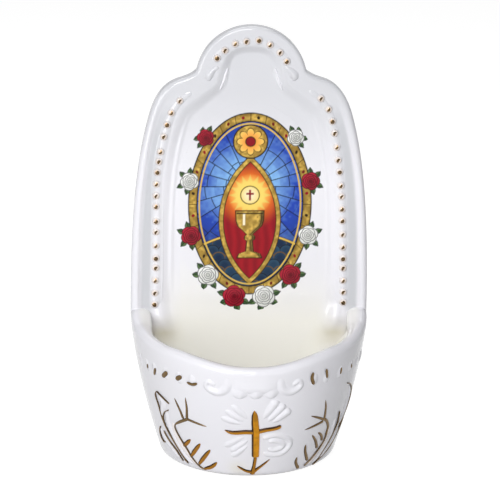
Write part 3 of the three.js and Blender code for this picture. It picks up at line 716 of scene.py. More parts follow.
def bead_and_cap():
    """One bead, and the gold cap on it: domes that face the front, round the origin."""
    bead = begin(bpy.ops.mesh.primitive_uv_sphere_add, segments=24, ring_count=16, radius=BEAD_RADIUS * MM)
    edit(bead)
    bpy.ops.transform.rotate(value=math.pi / 2, orient_axis="X", center_override=(0, 0, 0))
    bpy.ops.transform.resize(value=(1, BEAD_HEIGHT / BEAD_RADIUS, 1))
    bpy.ops.object.mode_set(mode="OBJECT")
    only(bead)
    bpy.ops.object.duplicate()
    cap = bpy.context.object
    edit(cap)
    bpy.ops.transform.resize(value=(CAP_SWELL,) * 3)
    depth = BEAD_HEIGHT * math.sqrt(1 - (CAP_RADIUS / BEAD_RADIUS) ** 2)
    plane = {"plane_co": (0, -depth * MM, 0), "plane_no": (0, 1, 0)}
    bpy.ops.mesh.bisect(**plane, use_fill=True, clear_outer=True)
    for piece in (bead, cap):
        close_and_smooth(piece, 40)
    return bead, cap


def copy_to(model, spots, leans, name):
    """Copies of a model, each moved to its spot and turned by its own lean in degrees."""
    points = points_of(model) / MM
    copies = []
    for spot, lean in zip(spots, leans):
        only(model)
        bpy.ops.object.duplicate()
        copy = bpy.context.object
        nod = Matrix.Rotation(math.radians(lean), 3, "X")
        turn = Matrix.Rotation(math.radians(CAP_TURN * lean), 3, "Z")
        place(copy, points @ np.array(nod @ turn).T + spot)
        copies.append(copy)
    return join(name, copies)


def bead_band(name, line, width, places, base, height):
    """A rounded strip with its row of beads, the gold caps on them, and the beads' middles."""
    strip = ridge(PLATE_SEAT, spread(line, BAND_POINTS), width, height, base=base, **BAND_FORM)
    bead, cap = bead_and_cap()
    depth = FIELD_Y - base - BEAD_SEAT * height
    spots = np.array([(x, depth, z) for x, z in places])
    leans = [CAP_LEAN * math.sin(CAP_CHANGE * i) for i in range(len(spots))]
    beads = copy_to(bead, spots, [0] * len(spots), name + "_beads")
    caps = copy_to(cap, spots, leans, name + "_gold")
    for model in (bead, cap):
        bpy.data.objects.remove(model)
    return join(name + "_glazed", [strip, beads]), caps, spots


# The bowl's sprigs and gilding: places are [degrees round from the front, height]

SHELL = {"turn": 0.8, "width": 23.0, "top": 54.5, "joint": 50.0, "body_low": 45.6, "low": 43.0}
SHELL_LOBES = [(-7.0, 9.5), (1.0, 9.0), (8.5, 8.5)]  # middle and width in degrees
SHELL_MEASURED_AT = 46.0  # height at which these widths are measured
SHELL_BODY = {"height": [0, 0.3, 0.8, 0.9], "section": LOBE, "ends": (3, 3), "sink": 0.6, "fine": (48, 40)}
SHELL_LOBE = {"height": [0, 0.9, 1.4], "section": SOFT, "ends": (3, 3.4), "sink": 0.6, "fine": (24, 40)}
SCROLL = {
    "width": [4.6, 5.0, 4.6, 3.6, 2.8], "height": [0.1, 0.9, 1.1, 0.9, 0.6],
    "section": SOFT, "ends": (3, 1.4), "fine": (24, 64),
}
SCROLL_PATH = [
    (12.5, 53), (13, 49), (15, 46.5), (18.5, 45.5), (22, 46.5), (23.5, 48.5), (22, 50.5), (20, 49.5),
    (19.5, 48.5),
]
RIM_BEAD = {"width": 5.0, "height": 0.5, "section": SOFT, "ends": (3, 3), "fine": (24, 20)}
RIM_BEAD_TURNS = {"left": [31, 38.5, 47.5, 56, 63, 71], "right": [31, 39, 49, 59, 67, 75]}
RIM_BEAD_ENDS = (46.5, 52.5)
DAB = {"height": 0.3, "section": ROUND, "ends": (1.8, 1.8), "base": 0.5}
DABS = {  # width and path
    "left": [
        (1.5, [(-34, 48.5), (-31, 48), (-28, 49)]), (2.2, [(-40.5, 48.5), (-36.5, 51)]),
        (2.2, [(-50, 47.5), (-45.5, 51)]), (1.6, [(-57, 46.5), (-54.5, 50.5)]),
        (1.2, [(-62.5, 48), (-62, 50.5)]),
    ],
    "right": [
        (1.7, [(31, 47.5), (29, 51), (29, 54)]), (1.4, [(39, 49), (37, 54)]),
        (1.3, [(49, 48.5), (48.5, 52)]), (1.2, [(59.5, 48.5), (58.5, 51)]),
    ],
}
BROAD_RAY = {
    "width": [2.8, 4.8, 5.8], "height": [0.4, 1.1, 1.3], "section": SOFT, "ends": (4, 2), "fine": (20, 32),
}
SLIM_RAY = {
    "width": [2.0, 3.6, 4.2], "height": [0.3, 0.7, 0.7], "section": SOFT, "ends": (4, 3), "fine": (20, 32),
}
CURLED_RAY = {"width": 3.4, "height": 0.8, "section": SOFT, "ends": (2, 2), "fine": (20, 56)}
RAY_FORMS = {
    "upper_right": BROAD_RAY, "upper_left": SLIM_RAY, "lower_left": SLIM_RAY, "lower_right": CURLED_RAY,
}
RAYS = {
    "upper_right": [[(5.5, 32.5), (12, 42)], [(8, 31), (16, 39.5)], [(10.5, 30), (19.5, 36.5)]],
    "upper_left": [[(-3, 32.5), (-11, 39.5)], [(-5, 31), (-14.5, 36.5)], [(-6, 29.5), (-17, 32.5)]],
    "lower_left": [[(-4.5, 23), (-16, 17)], [(-2.5, 21), (-12.5, 14.5)], [(-2.5, 18), (-12, 11.5)]],
    "lower_right": [
        [(5.5, 22), (13, 23), (21, 20), (22, 16), (17.5, 12.5), (10.5, 12.5), (6.5, 14)],
        [(9, 20), (13, 20), (17.5, 18), (17, 16), (12.5, 15), (9, 16)],
    ],
}
CROSS_STEM = {
    "path": [(0.5, 37), (1, 30.5), (1.5, 25.5), (2, 11.5)],
    "width": [2.6, 3.3, 3.6, 3.5, 3.3], "height": 1.0,
    "section": FLAT, "ends": (4.0, 0.8), "taper": 0.8, "fine": (20, 40), "dark": 1,
}
CROSS_ARMS = {
    "path": [(-15.5, 26), (-11, 25), (-4, 25.5), (1.5, 25.5), (7, 26.5), (12, 27), (15.5, 28)],
    "width": [1.2, 2.1, 2.2, 2.2, 2.0, 1.9], "height": 0.85,
    "section": FLAT, "ends": (3.0, 1.0), "taper": 0.7, "fine": (20, 48), "dark": -1,
}
CROSS_FOOT = [
    {
        "path": [(2, 11.5), (1.5, 7), (0.5, 1.5)], "width": [1.6, 1.7, 2.6], "height": 0.6,
        "section": ROUND, "dark": 1,
    },
    {
        "path": [(-9, 6.5), (-4, 4), (0.5, 3)], "width": [0.9, 1.4, 2.0], "height": 0.55,
        "section": ROUND, "ends": (2.5, 1), "dark": -1,
    },
    {
        "path": [(11, 10), (6, 6.5), (1, 3)], "width": [0.7, 1.2, 2.0], "height": 0.55,
        "section": ROUND, "ends": (3.5, 1), "dark": 1,
    },
]
ARM_WEAR = 0.71  # how brown the gold has worn, as a share of a stroke's edge
SPRAY_WEAR = 0.77
GRAIN = {"height": 0.5, "section": ROUND, "ends": (0.8, 2.4), "dark": -1}
GRAIN_WIDTH = {"left": [1.4, 2.1, 2.0, 1.3], "right": [1.7, 1.5, 1.0]}
GRAINS = {
    "left": [
        [(-44, 12.5), (-37.5, 17.5)], [(-39.5, 8), (-31, 16.5)], [(-34.5, 4.5), (-25, 14)],
        [(-31, 2.5), (-25.5, 4.5), (-21.5, 7.5)],
    ],
    "right": [
        [(47, 14.5), (45, 17.5), (41.5, 20)], [(44, 11), (41, 15.5), (37, 19.5)],
        [(38, 5.5), (34.5, 11), (33.5, 15)], [(32, 2), (29, 6), (29, 9)],
    ],
}
TUFT_ROOT = {"width": [0.9, 1.5, 1.6, 1.5], "height": 0.55, "section": ROUND}
TUFT_AWN = {"width": [1.5, 1.2, 0.7], "height": 0.45, "section": ROUND, "ends": (0.7, 4)}
TUFTS = {  # the root and its three awns
    "left": [
        [(-47, 23.5), (-45.5, 24.5), (-41.5, 26.5), (-37, 28.5)], [(-40, 28), (-41.5, 32.5), (-44, 38)],
        [(-37.5, 28.5), (-36.5, 34.5), (-36.5, 40)], [(-37.5, 28.5), (-31.5, 27.5), (-25.5, 26.5)],
    ],
    "right": [
        [(49, 17), (49.5, 21), (47, 24.5), (44, 26.5)], [(44, 26.5), (43, 32.5), (41.5, 37)],
        [(44.5, 26), (38.5, 28.5), (33, 30.5)], [(43.5, 25.5), (37, 24.5), (30.5, 23.5)],
    ],
}
STALK = {"width": [2.2, 3.2, 3.2, 2.6], "height": 0.7, "section": SOFT, "ends": (3, 2), "fine": (20, 40)}
STALK_BLUSH = 0.25
STALKS = {
    "left": [(-49, 24), (-49, 19.5), (-46, 13.5), (-40.5, 7.5), (-34.5, 3.5)],
    "right": [(51, 21), (51, 15.5), (47.5, 10), (42.5, 5.5), (38.5, 3)],
}
BLADE = {"width": [3.0, 4.6, 4.2, 3.0], "height": 0.7, "section": SOFT, "ends": (4, 4), "fine": (20, 40)}
BLADES = {
    "left": {
        "front": [(-52.5, 29.5), (-53.5, 22.5), (-50.5, 15.5), (-45.5, 8.5), (-40, 3.5)],
        "side": [(-57.5, 36.5), (-54.5, 33), (-56.5, 29), (-58, 25)],
        "low": [(-65, 17), (-62, 12.5), (-56, 8.5), (-50, 4.5)],
    },
    "right": {
        "front": [(55.5, 23.5), (55.5, 16.5), (51.5, 10.5), (47, 5.5), (43, 3)],
        "side": [(64.5, 38), (67.5, 32), (67, 25), (62.5, 18.5)],
        "low": [(64.5, 17), (61, 12), (55.5, 8), (49, 4)],
    },
}
LINE = {
    "width": [0.5, 0.9, 0.6], "height": 0.3, "section": ROUND, "ends": (1, 1.5), "base": 0.4, "sink": 0.6,
    "fine": (10, 48),
}
LINES = {
    "left": [
        [(-58, 38), (-53, 36), (-48.5, 34)],
        [(-58, 38), (-60, 35.5), (-59, 31), (-58, 24), (-55.5, 18.5), (-50.5, 12), (-44, 4)],
        [(-50, 30.5), (-54.5, 28), (-57, 24.5), (-56.5, 20.5), (-53, 15.5), (-49, 11), (-43, 3.5)],
        [(-60.5, 17), (-57, 13), (-51.5, 9), (-47, 4)],
        [(-63.5, 18.5), (-66.5, 15), (-67, 12), (-64.5, 10), (-61.5, 11)],
        [(-47, 24), (-47.5, 21.5), (-45.5, 17.5), (-41.5, 12), (-38.5, 7.5), (-33.5, 3.5), (-29.5, 2.5)],
    ],
    "right": [
        [(59, 41), (63.5, 39.5), (67.5, 36.5), (70.5, 32), (70.5, 27.5), (69, 24), (64, 18.5)],
        [(58.5, 27), (59.5, 23), (60, 20), (56.5, 14), (53.5, 10.5), (50.5, 7.5), (47, 3.5)],
        [(68.5, 21.5), (67, 17), (63, 12), (57.5, 7.5), (50, 4.5), (44.5, 2)],
        [(49.5, 20), (49, 14.5), (45.5, 10), (41.5, 6.5), (36, 3)],
    ],
}


# The printed picture: a wreath of roses round a gold oval of coloured glass with a chalice


FILM = {"middle": 116.0, "half": (34.0, 49.2), "lift": 0.06, "sunk": 0.2, "cells": (300, 310)}
OVAL = {"middle": 117.6, "half": (27.6, 42.4)}
FRAME_WIDTH = 3.3
FRAME_STONES = 24
STONE_RADIUS = 0.75
WREATH_HALF = (28.2, 45.0)
WREATH_TURNS = [-76, -48, -19, 14, 44]  # degrees above level, from the oval's middle
ROSE_RADIUS = (5.4, 4.0)  # at the wreath's foot and at its ends
ROSE_RINGS = [(1.0, 5), (0.78, 5), (0.57, 4), (0.38, 3), (0.2, 2)]  # share of the radius, and petals
ROSE_LEAVES = (-84, -36, 36, 84)  # degrees from the way out of the oval
LEAF_SIZE = {"root": 0.72, "length": 0.72, "width": 0.46}  # shares of the rose's radius
GLASS_MIDDLE = (0.0, 126.0)
SPOKES = 22
RING_PITCH = 8.5
SCALES = {"rows": 13, "pitch": 5.6, "rise": 3.4, "top": 104.0, "sag": 0.012, "radius": 0.56}
ALMOND = {"middle": 110.0, "half": (13.0, 29.0)}
ROSETTE = {"spot": (0.0, 147.0), "radius": 7.4}
HOST = {"spot": (0.0, 122.0), "radius": 4.0}
HOST_CROSS = {"upright": (0.45, 2.5), "bar": (1.7, 0.45), "bar_rise": 0.6}  # half sizes, and the bar's rise
CHALICE = [  # heights and half widths
    (92.5, 5.4), (94.2, 4.6), (95.4, 1.5), (100.4, 1.0), (101.2, 2.1), (102.6, 2.1), (103.4, 1.1),
    (105.0, 2.6), (107.4, 5.2), (110.0, 6.0), (114.4, 6.2),
]
CHALICE_SHINE = ((-2.6, 110.6), (0.5, 2.8))  # middle and half sizes
CHALICE_RIM = ((0.0, 113.4), (6.0, 0.3))


def ink(red, green, blue):
    """A colour as it is seen, from 0 to 255, in the values that light is reckoned in."""
    seen = np.array([red, green, blue]) / 255
    return np.where(seen > 0.04045, ((seen + 0.055) / 1.055) ** 2.4, seen / 12.92)


LEAD = ink(16, 16, 26)
NAVY = ink(17, 38, 68)
TEAL = ink(48, 84, 108)
BLUE = ink(36, 70, 178)
SKY = ink(138, 190, 240)
CRIMSON = ink(140, 12, 28)
SCARLET = ink(196, 28, 40)
FLAME = ink(240, 120, 36)
YELLOW = ink(250, 218, 110)
CREAM = ink(252, 244, 214)
BRIGHT_GOLD = ink(224, 186, 88)
DARK_GOLD = ink(112, 80, 22)
UMBER = ink(46, 32, 12)
LEAF = (ink(92, 122, 72), ink(38, 62, 38), ink(18, 30, 20))
RED_ROSE = (ink(190, 36, 58), ink(104, 8, 26), ink(44, 6, 12))
WHITE_ROSE = (ink(252, 252, 250), ink(198, 200, 194), ink(38, 40, 38))


def scatter(i, j):
    """A number from 0 to 1 that belongs to a pair of whole numbers."""
    return np.sin(127.1 * i + 311.7 * j + 17.3) * 43758.5453 % 1


def cloud(x, z, size):
    """Soft mottling between 0 and 1, in patches of a size."""
    u, v = x / size, z / size
    i, j = np.floor(u), np.floor(v)
    s, t = smoothstep(u - i, 0, 1), smoothstep(v - j, 0, 1)
    low = scatter(i, j) * (1 - s) + scatter(i + 1, j) * s
    high = scatter(i, j + 1) * (1 - s) + scatter(i + 1, j + 1) * s
    return low * (1 - t) + high * t


def blend(share, a, b):
    share = np.clip(share, 0, 1)[:, None]
    return a * (1 - share) + b * share


class Print:
    """Inks laid over each other on the film's points. Distances are in millimetres, and negative inside."""

    def __init__(self, x, z):
        self.x, self.z = x, z
        self.colour = np.zeros((len(x), 3))
        self.cover = np.zeros(len(x))

    def near(self, spot, reach):
        """The points within reach of a spot, as a sheet of their own."""
        kept = np.flatnonzero(self.disc(spot, reach) < 0)
        part = Print(self.x[kept], self.z[kept])
        part.colour, part.cover = self.colour[kept], self.cover[kept]
        return kept, part

    def take(self, kept, part):
        """Puts the points of such a sheet back."""
        self.colour[kept], self.cover[kept] = part.colour, part.cover

    def lay(self, distance, colour, soft=0.16, within=None):
        """Lays a colour inside a shape, and inside another where one is given, with a soft edge."""
        share = 1 - smoothstep(distance, -soft, soft)
        if within is not None:
            share = share * (1 - smoothstep(within, -soft, soft))
        cover = share + self.cover * (1 - share)
        part = (share / np.maximum(cover, 1e-9))[:, None]
        self.colour = colour * part + self.colour * (1 - part)
        self.cover = cover

    def line(self, distance, width, colour, within=None):
        self.lay(np.abs(distance) - width / 2, colour, within=within)

    def disc(self, spot, radius):
        return np.hypot(self.x - spot[0], self.z - spot[1]) - radius

    def block(self, spot, half):
        return np.maximum(np.abs(self.x - spot[0]) - half[0], np.abs(self.z - spot[1]) - half[1])

    def oval(self, middle, half):
        x, z = self.x, self.z - middle
        size = np.maximum(np.hypot(x / half[0], z / half[1]), 1e-6)
        return (size - 1) * size / np.maximum(np.hypot(x / half[0] ** 2, z / half[1] ** 2), 1e-6)

    def almond(self, middle, half):
        """A pointed oval between two arcs."""
        radius = (half[0] ** 2 + half[1] ** 2) / (2 * half[0])
        return np.hypot(np.abs(self.x) + radius - half[0], self.z - middle) - radius

    def polar(self, spot):
        return np.hypot(self.x - spot[0], self.z - spot[1]), np.arctan2(self.z - spot[1], self.x - spot[0])

    def leaf(self, root, way, length, width):
        """A leaf from its root along a way in degrees, with a dark edge and rib."""
        bright, deep, edge = LEAF
        kept, part = self.near(root, 1.3 * length)
        c, s = heading(way)
        far = ((part.x - root[0]) * c + (part.z - root[1]) * s) / length
        side = (part.z - root[1]) * c - (part.x - root[0]) * s
        half = width / 2 * np.sin(math.pi * np.clip(far, 0, 1) ** 0.8) ** 0.9
        distance = np.maximum(np.abs(side) - half, np.maximum(-far, far - 1) * length)
        part.lay(distance - 0.3, edge)
        part.lay(distance, blend(0.5 + side / width, deep, bright))
        part.line(np.maximum(np.abs(side), (np.abs(far - 0.45) - 0.4) * length), 0.3, edge)
        self.take(kept, part)

    def rose(self, spot, radius, colours, turn):
        """A full-blown rose from the front: rings of petals, each with a dark edge."""
        bright, deep, edge = colours
        kept, part = self.near(spot, 1.1 * radius)
        reach, angle = part.polar(spot)
        for i, (share, petals) in enumerate(ROSE_RINGS):
            wave = np.abs(np.cos(petals / 2 * angle + turn + 1.9 * i))
            rim = radius * share * (0.84 + 0.16 * wave**0.6)
            light = smoothstep(reach / rim, 0.45, 0.95) * (0.72 + 0.28 * np.cos(angle - 2.2))
            part.lay(reach - rim, blend(light, deep, bright))
            part.line(reach - rim + 0.15, 0.34 - 0.03 * i, edge)
        self.take(kept, part)


def paint_glass(sheet, glass):
    """Panes between lead spokes and rings, bright round the middle and deep towards the frame."""
    reach, angle = sheet.polar(GLASS_MIDDLE)
    step = 2 * math.pi / SPOKES
    sector = np.floor(angle / step)
    ring_place = (reach + 3.5 * scatter(sector, 3)) / RING_PITCH
    pane = scatter(sector, np.floor(ring_place))
    glow = 1 - smoothstep(reach, 8, 27)
    blue = blend(smoothstep(reach, 20, 40) * 0.8, BLUE, NAVY)
    light = 0.85 * glow + 0.3 * (pane - 0.5) + 0.25 * cloud(sheet.x, sheet.z, 1.3) - 0.1
    sheet.lay(glass, blend(light, blue, SKY))
    spoke = reach * np.abs((angle / step - sector) % 1 - 0.5) * step
    between = np.abs(spoke - 0.5 * step * reach)
    sheet.line(between, 0.42, LEAD, within=glass)
    sheet.line((ring_place - np.floor(ring_place) - 0.5) * RING_PITCH, 0.36, LEAD, within=glass)


def paint_scales(sheet, glass):
    """Rows of rounded panes in deep blue over the lower part, every other row edged with gold."""
    pitch = SCALES["pitch"]
    top = SCALES["top"] - SCALES["sag"] * sheet.x**2
    kept = np.maximum(glass, sheet.z - top)
    for row in reversed(range(SCALES["rows"])):
        foot = OVAL["middle"] - OVAL["half"][1] + row * SCALES["rise"]
        shift = 0.5 * pitch * (row % 2)
        middle = np.round((sheet.x - shift) / pitch) * pitch + shift
        distance = np.hypot(sheet.x - middle, 1.05 * (sheet.z - foot)) - SCALES["radius"] * pitch
        light = 0.55 * scatter(middle, row) + 0.5 * smoothstep(distance, -2.4, 0)
        sheet.lay(distance, blend(light * 0.8, NAVY, TEAL), within=kept)
        sheet.line(distance + 0.2, 0.42, DARK_GOLD if row % 2 else LEAD, within=kept)
    sheet.line(sheet.z - top, 1.5, UMBER, within=glass)
    sheet.line(sheet.z - top, 0.9, BRIGHT_GOLD, within=glass)


def paint_ground(sheet, almond):
    """Crimson folds that glow round the host, and its rays."""
    reach, angle = sheet.polar(HOST["spot"])
    folds = 0.5 + 0.5 * np.sin(1.5 * sheet.x + 0.8 * np.sin(0.3 * sheet.z))
    glow = 1 - smoothstep(reach, 4, 17)
    red = blend(0.35 * folds, CRIMSON, SCARLET)
    warm = blend(1.3 * glow, red, FLAME)
    sheet.lay(almond, blend(1.6 * (glow - 0.55), warm, YELLOW))
    rays = np.abs(np.sin(8 * angle)) * 0.5 * reach / 8 + 0.16 * (reach - 9.5)
    sheet.lay(rays, blend(smoothstep(reach, 5, 11), YELLOW, BRIGHT_GOLD), within=almond)


def paint_chalice(sheet, almond, gold):
    """A gold cup with a dark outline, shaded on its right and shining on its left."""
    heights, halves = np.array(CHALICE).T
    half = np.interp(sheet.z, heights, halves)
    middle = 0.5 * (heights[0] + heights[-1])
    half_tall = 0.5 * (heights[-1] - heights[0])
    cup = np.maximum(np.abs(sheet.x) - half, np.abs(sheet.z - middle) - half_tall)
    sheet.lay(cup - 0.5, UMBER, within=almond)
    sheet.lay(cup, gold, within=almond)
    sheet.lay(cup, UMBER, 0.9, np.maximum(almond, half - 1.3 - sheet.x))
    sheet.lay(sheet.block(*CHALICE_SHINE), CREAM)
    sheet.lay(sheet.block(*CHALICE_RIM), UMBER, within=almond)


def paint_host(sheet):
    """A pale disc with a dark outline and a small cross."""
    reach = sheet.disc(HOST["spot"], 0)
    sheet.lay(reach - HOST["radius"] - 0.45, UMBER)
    sheet.lay(reach - HOST["radius"], blend(reach / 5, CREAM, YELLOW))
    x, z = HOST["spot"]
    upright = sheet.block((x, z), HOST_CROSS["upright"])
    bar = sheet.block((x, z + HOST_CROSS["bar_rise"]), HOST_CROSS["bar"])
    sheet.lay(np.minimum(upright, bar), CRIMSON)


def paint_middle(sheet, gold):
    """A crimson almond with a gold edge: a chalice, and a pale host with rays over it."""
    almond = sheet.almond(ALMOND["middle"], ALMOND["half"])
    paint_ground(sheet, almond)
    paint_chalice(sheet, almond, gold)
    paint_host(sheet)
    sheet.line(almond, 2.5, UMBER)
    sheet.line(almond, 1.7, gold)


def paint_rosette(sheet, gold):
    """A round window of petals over the almond."""
    spot, radius = ROSETTE["spot"], ROSETTE["radius"]
    reach, angle = sheet.polar(spot)
    sheet.lay(sheet.disc(spot, radius + 0.6), UMBER)
    sheet.lay(sheet.disc(spot, radius), gold)
    petal = reach - radius * (0.42 + 0.42 * np.abs(np.cos(4 * angle)) ** 0.5)
    sheet.lay(petal, blend(reach / radius, FLAME, YELLOW))
    sheet.line(petal, 0.4, UMBER)
    sheet.lay(sheet.disc(spot, 0.3 * radius), CRIMSON)
    sheet.line(sheet.disc(spot, 0.3 * radius), 0.45, UMBER)


def paint_frame(sheet, outer, gold):
    """The gold oval, with dark edges, joints across it and small stones."""
    half = OVAL["half"]
    round_it = np.arctan2((sheet.z - OVAL["middle"]) / half[1], sheet.x / half[0])
    band = np.abs(outer + FRAME_WIDTH / 2)
    sheet.lay(band - FRAME_WIDTH / 2 - 0.5, LEAD)
    sheet.lay(band - FRAME_WIDTH / 2, blend(0.35 * smoothstep(band, 0.4, 1.6), gold, UMBER))
    step = 2 * math.pi / FRAME_STONES
    place_in = (round_it / step) % 1 - 0.5
    mean = np.hypot(half[0] * np.sin(round_it), half[1] * np.cos(round_it))
    joint = np.abs(np.abs(place_in) - 0.5) * step * mean
    sheet.line(np.maximum(joint, band - FRAME_WIDTH / 2), 0.3, UMBER)
    stone = np.hypot(place_in * step * mean, band) - STONE_RADIUS
    sheet.lay(stone, blend((np.floor(round_it / step) % 3) / 2, CRIMSON, UMBER))
    sheet.line(outer + FRAME_WIDTH + 1.3, 0.7, BRIGHT_GOLD)


def paint_wreath(sheet):
    """Roses in turn red and white along the oval, each with leaves round it."""
    for sign in (-1, 1):
        for i, turn in enumerate(WREATH_TURNS):
            c, s = heading(turn)
            spot = (sign * WREATH_HALF[0] * c, OVAL["middle"] + WREATH_HALF[1] * s)
            radius = along(ROSE_RADIUS, i / (len(WREATH_TURNS) - 1))
            outward = math.degrees(math.atan2(s / WREATH_HALF[1], c / WREATH_HALF[0]))
            for fan in ROSE_LEAVES:
                way = outward + fan if sign > 0 else 180 - outward - fan
                root = np.array(spot) + LEAF_SIZE["root"] * radius * heading(way)
                sheet.leaf(root, way, LEAF_SIZE["length"] * radius, LEAF_SIZE["width"] * radius)
            red = (i % 2 == 0) == (sign < 0)
            sheet.rose(spot, radius, RED_ROSE if red else WHITE_ROSE, 0.7 * i + sign)


def paint_picture(x, z):
    """The picture's colour and cover at the film's points."""
    sheet = Print(x, z)
    outer = sheet.oval(OVAL["middle"], OVAL["half"])
    glass = outer + FRAME_WIDTH - 0.2
    gold = blend(1.3 * cloud(x, z, 0.9) * cloud(x, z, 2.1) + 0.25, DARK_GOLD, BRIGHT_GOLD)
    paint_glass(sheet, glass)
    paint_scales(sheet, glass)
    paint_middle(sheet, gold)
    paint_rosette(sheet, gold)
    paint_frame(sheet, outer, gold)
    paint_wreath(sheet)
    return np.concatenate([sheet.colour, sheet.cover[:, None]], 1)


def make_film():
    """A square grid drawn round to an oval, its edge pulled back into the plate and closed."""
    across, up = FILM["cells"]
    film = begin(bpy.ops.mesh.primitive_grid_add, x_subdivisions=across, y_subdivisions=up, size=2)
    u, v = points_of(film)[:, :2].T
    x = FILM["half"][0] * u * np.sqrt(1 - v**2 / 2)
    z = FILM["middle"] + FILM["half"][1] * v * np.sqrt(1 - u**2 / 2)
    place(film, on_plate(x, z, FILM["lift"]))
    edit(film)
    bpy.ops.mesh.select_all(action="DESELECT")
    bpy.ops.mesh.select_non_manifold()
    back = {"value": (0, (FILM["lift"] + FILM["sunk"]) * MM, 0)}
    bpy.ops.mesh.extrude_edges_move(TRANSFORM_OT_translate=back)
    bpy.ops.mesh.edge_face_add()
    close_and_smooth(film, 40)
    film.name = film.data.name = "picture_print"
    return film


# Finishes


class Finish:
    """A material under construction: nodes are added and joined by name of socket."""

    def __init__(self, name, **sockets):
        self.material = bpy.data.materials.new(name)
        self.material.use_nodes = True
        self.nodes = self.material.node_tree.nodes
        self.links = self.material.node_tree.links
        self.shader = self.nodes["Principled BSDF"]
        for socket, value in sockets.items():
            self.shader.inputs[socket.replace("_", " ")].default_value = value

    def node(self, kind, inputs=None, **settings):
        made = self.nodes.new("ShaderNode" + kind)
        for key, value in settings.items():
            setattr(made, key, value)
        for socket, value in (inputs or {}).items():
            self.feed(made.inputs[socket], value)
        return made

    def feed(self, socket, value):
        if isinstance(value, bpy.types.NodeSocket):
            self.links.new(value, socket)
        else:
            socket.default_value = value

    def attribute(self, name):
        return self.node("Attribute", attribute_name=name).outputs["Fac"]

    def object_place(self):
        return self.node("TexCoord").outputs["Object"]

    def noise(self, scale, detail=2.0):
        made = self.node("TexNoise", {"Vector": self.object_place(), "Scale": scale, "Detail": detail})
        return made.outputs["Fac"]

    def mix(self, share, a, b):
        made = self.node("Mix", {0: share, 6: a, 7: b}, data_type="RGBA")
        return made.outputs[2]

    def remap(self, value, low, high, to_low, to_high):
        inputs = {"Value": value, "From Min": low, "From Max": high, "To Min": to_low, "To Max": to_high}
        return self.node("MapRange", inputs, interpolation_type="SMOOTHSTEP").outputs[0]

    def bump(self, height, strength, distance):
        made = self.node("Bump", {"Height": height, "Strength": strength, "Distance": distance})
        self.links.new(made.outputs[0], self.shader.inputs["Normal"])

    def colour(self, value):
        self.links.new(value, self.shader.inputs["Base Color"])


GLAZE_WHITES = ((0.838, 0.833, 0.88, 1), (0.853, 0.848, 0.89, 1))
GLAZE_TINTS = {  # each lies over those before it, as strongly as the attribute of its name says
    # cream: the glaze's cream tone, lighter than the white, so partly painted light on the field's foot and
    # inside the bowl
    "cream_and_painted_light": (0.94, 0.93, 0.87, 1),
    # thin: grey painted shade, not thin glaze: towards the crest, in the border's channel and on the near
    # side of the beads' band
    "thin": (0.58, 0.59, 0.62, 1),
    "pool": (0.72, 0.66, 0.42, 1),
    "blush": (0.86, 0.68, 0.52, 1),
}
PRINTED_COAT = 0.35


def white_glaze(name, printed=False):
    """Clear glaze over white clay, with its tints, painted light and painted shade, and with inks over them
    where it is printed.
    """
    glaze = Finish(name, Roughness=0.32, Specular_IOR_Level=0.0, Coat_Weight=1.0, Coat_Roughness=0.05)
    mottle = glaze.remap(glaze.noise(28), 0.3, 0.7, 0, 1)
    colour = glaze.mix(mottle, *GLAZE_WHITES)
    for attribute, shade in GLAZE_TINTS.items():
        colour = glaze.mix(glaze.attribute(attribute), colour, shade)
    if printed:
        inks = glaze.node("Attribute", attribute_name="print")
        colour = glaze.mix(inks.outputs["Alpha"], colour, inks.outputs["Color"])
        coat = glaze.remap(inks.outputs["Alpha"], 0, 1, 1.0, PRINTED_COAT)
        glaze.feed(glaze.shader.inputs["Coat Weight"], coat)
    glaze.colour(colour)
    glaze.bump(glaze.noise(55, 1), 0.12, 0.0006)
    return glaze.material


def gold_lustre(name, bright, dark, rough=0.3):
    """Fired gold, burnished in the middle of a stroke and brown towards its edges, most on a stroke's dark
    side.
    """
    gold = Finish(name, Metallic=0.9, Roughness=rough)
    edge = gold.remap(gold.attribute("edge"), 0.55, 1.0, 0, 1)
    uneven = gold.remap(gold.noise(320, 3), 0.35, 0.75, 0, 0.45)
    share = gold.node("Math", {0: edge, 1: uneven}, operation="MAXIMUM").outputs[0]
    gold.colour(gold.mix(share, bright, dark))
    gold.bump(gold.noise(500, 2), 0.15, 0.0002)
    return gold.material


def bare_clay_and_shadow():
    """The unglazed base, specked and rough, and dark: partly the bare clay, partly painted contact shadow
    along the foot.
    """
    clay = Finish("bare_clay_and_shadow", Roughness=0.9)
    speck = clay.remap(clay.noise(700, 4), 0.35, 0.65, 0, 1)
    clay.colour(clay.mix(speck, (0.20, 0.18, 0.16, 1), (0.30, 0.27, 0.24, 1)))
    clay.bump(clay.noise(900, 3), 0.3, 0.0002)
    return clay.material


GLAZE = white_glaze("white_glaze")
PRINT = white_glaze("printed_glaze", printed=True)
GOLD = gold_lustre("gold_lustre", (0.58, 0.25, 0.012, 1), (0.045, 0.022, 0.012, 1))
# the caps' gold is a darker copy of the lustre: painted shade for the dark room their domes reflect
SHADED_CAP_GOLD = gold_lustre("bead_gold_painted_dark", (0.15, 0.095, 0.045, 1), (0.06, 0.04, 0.02, 1), rough=0.14)
BROWN = gold_lustre("thin_gold", (0.19, 0.12, 0.05, 1), (0.08, 0.055, 0.035, 1))
CLAY_AND_SHADOW = bare_clay_and_shadow()
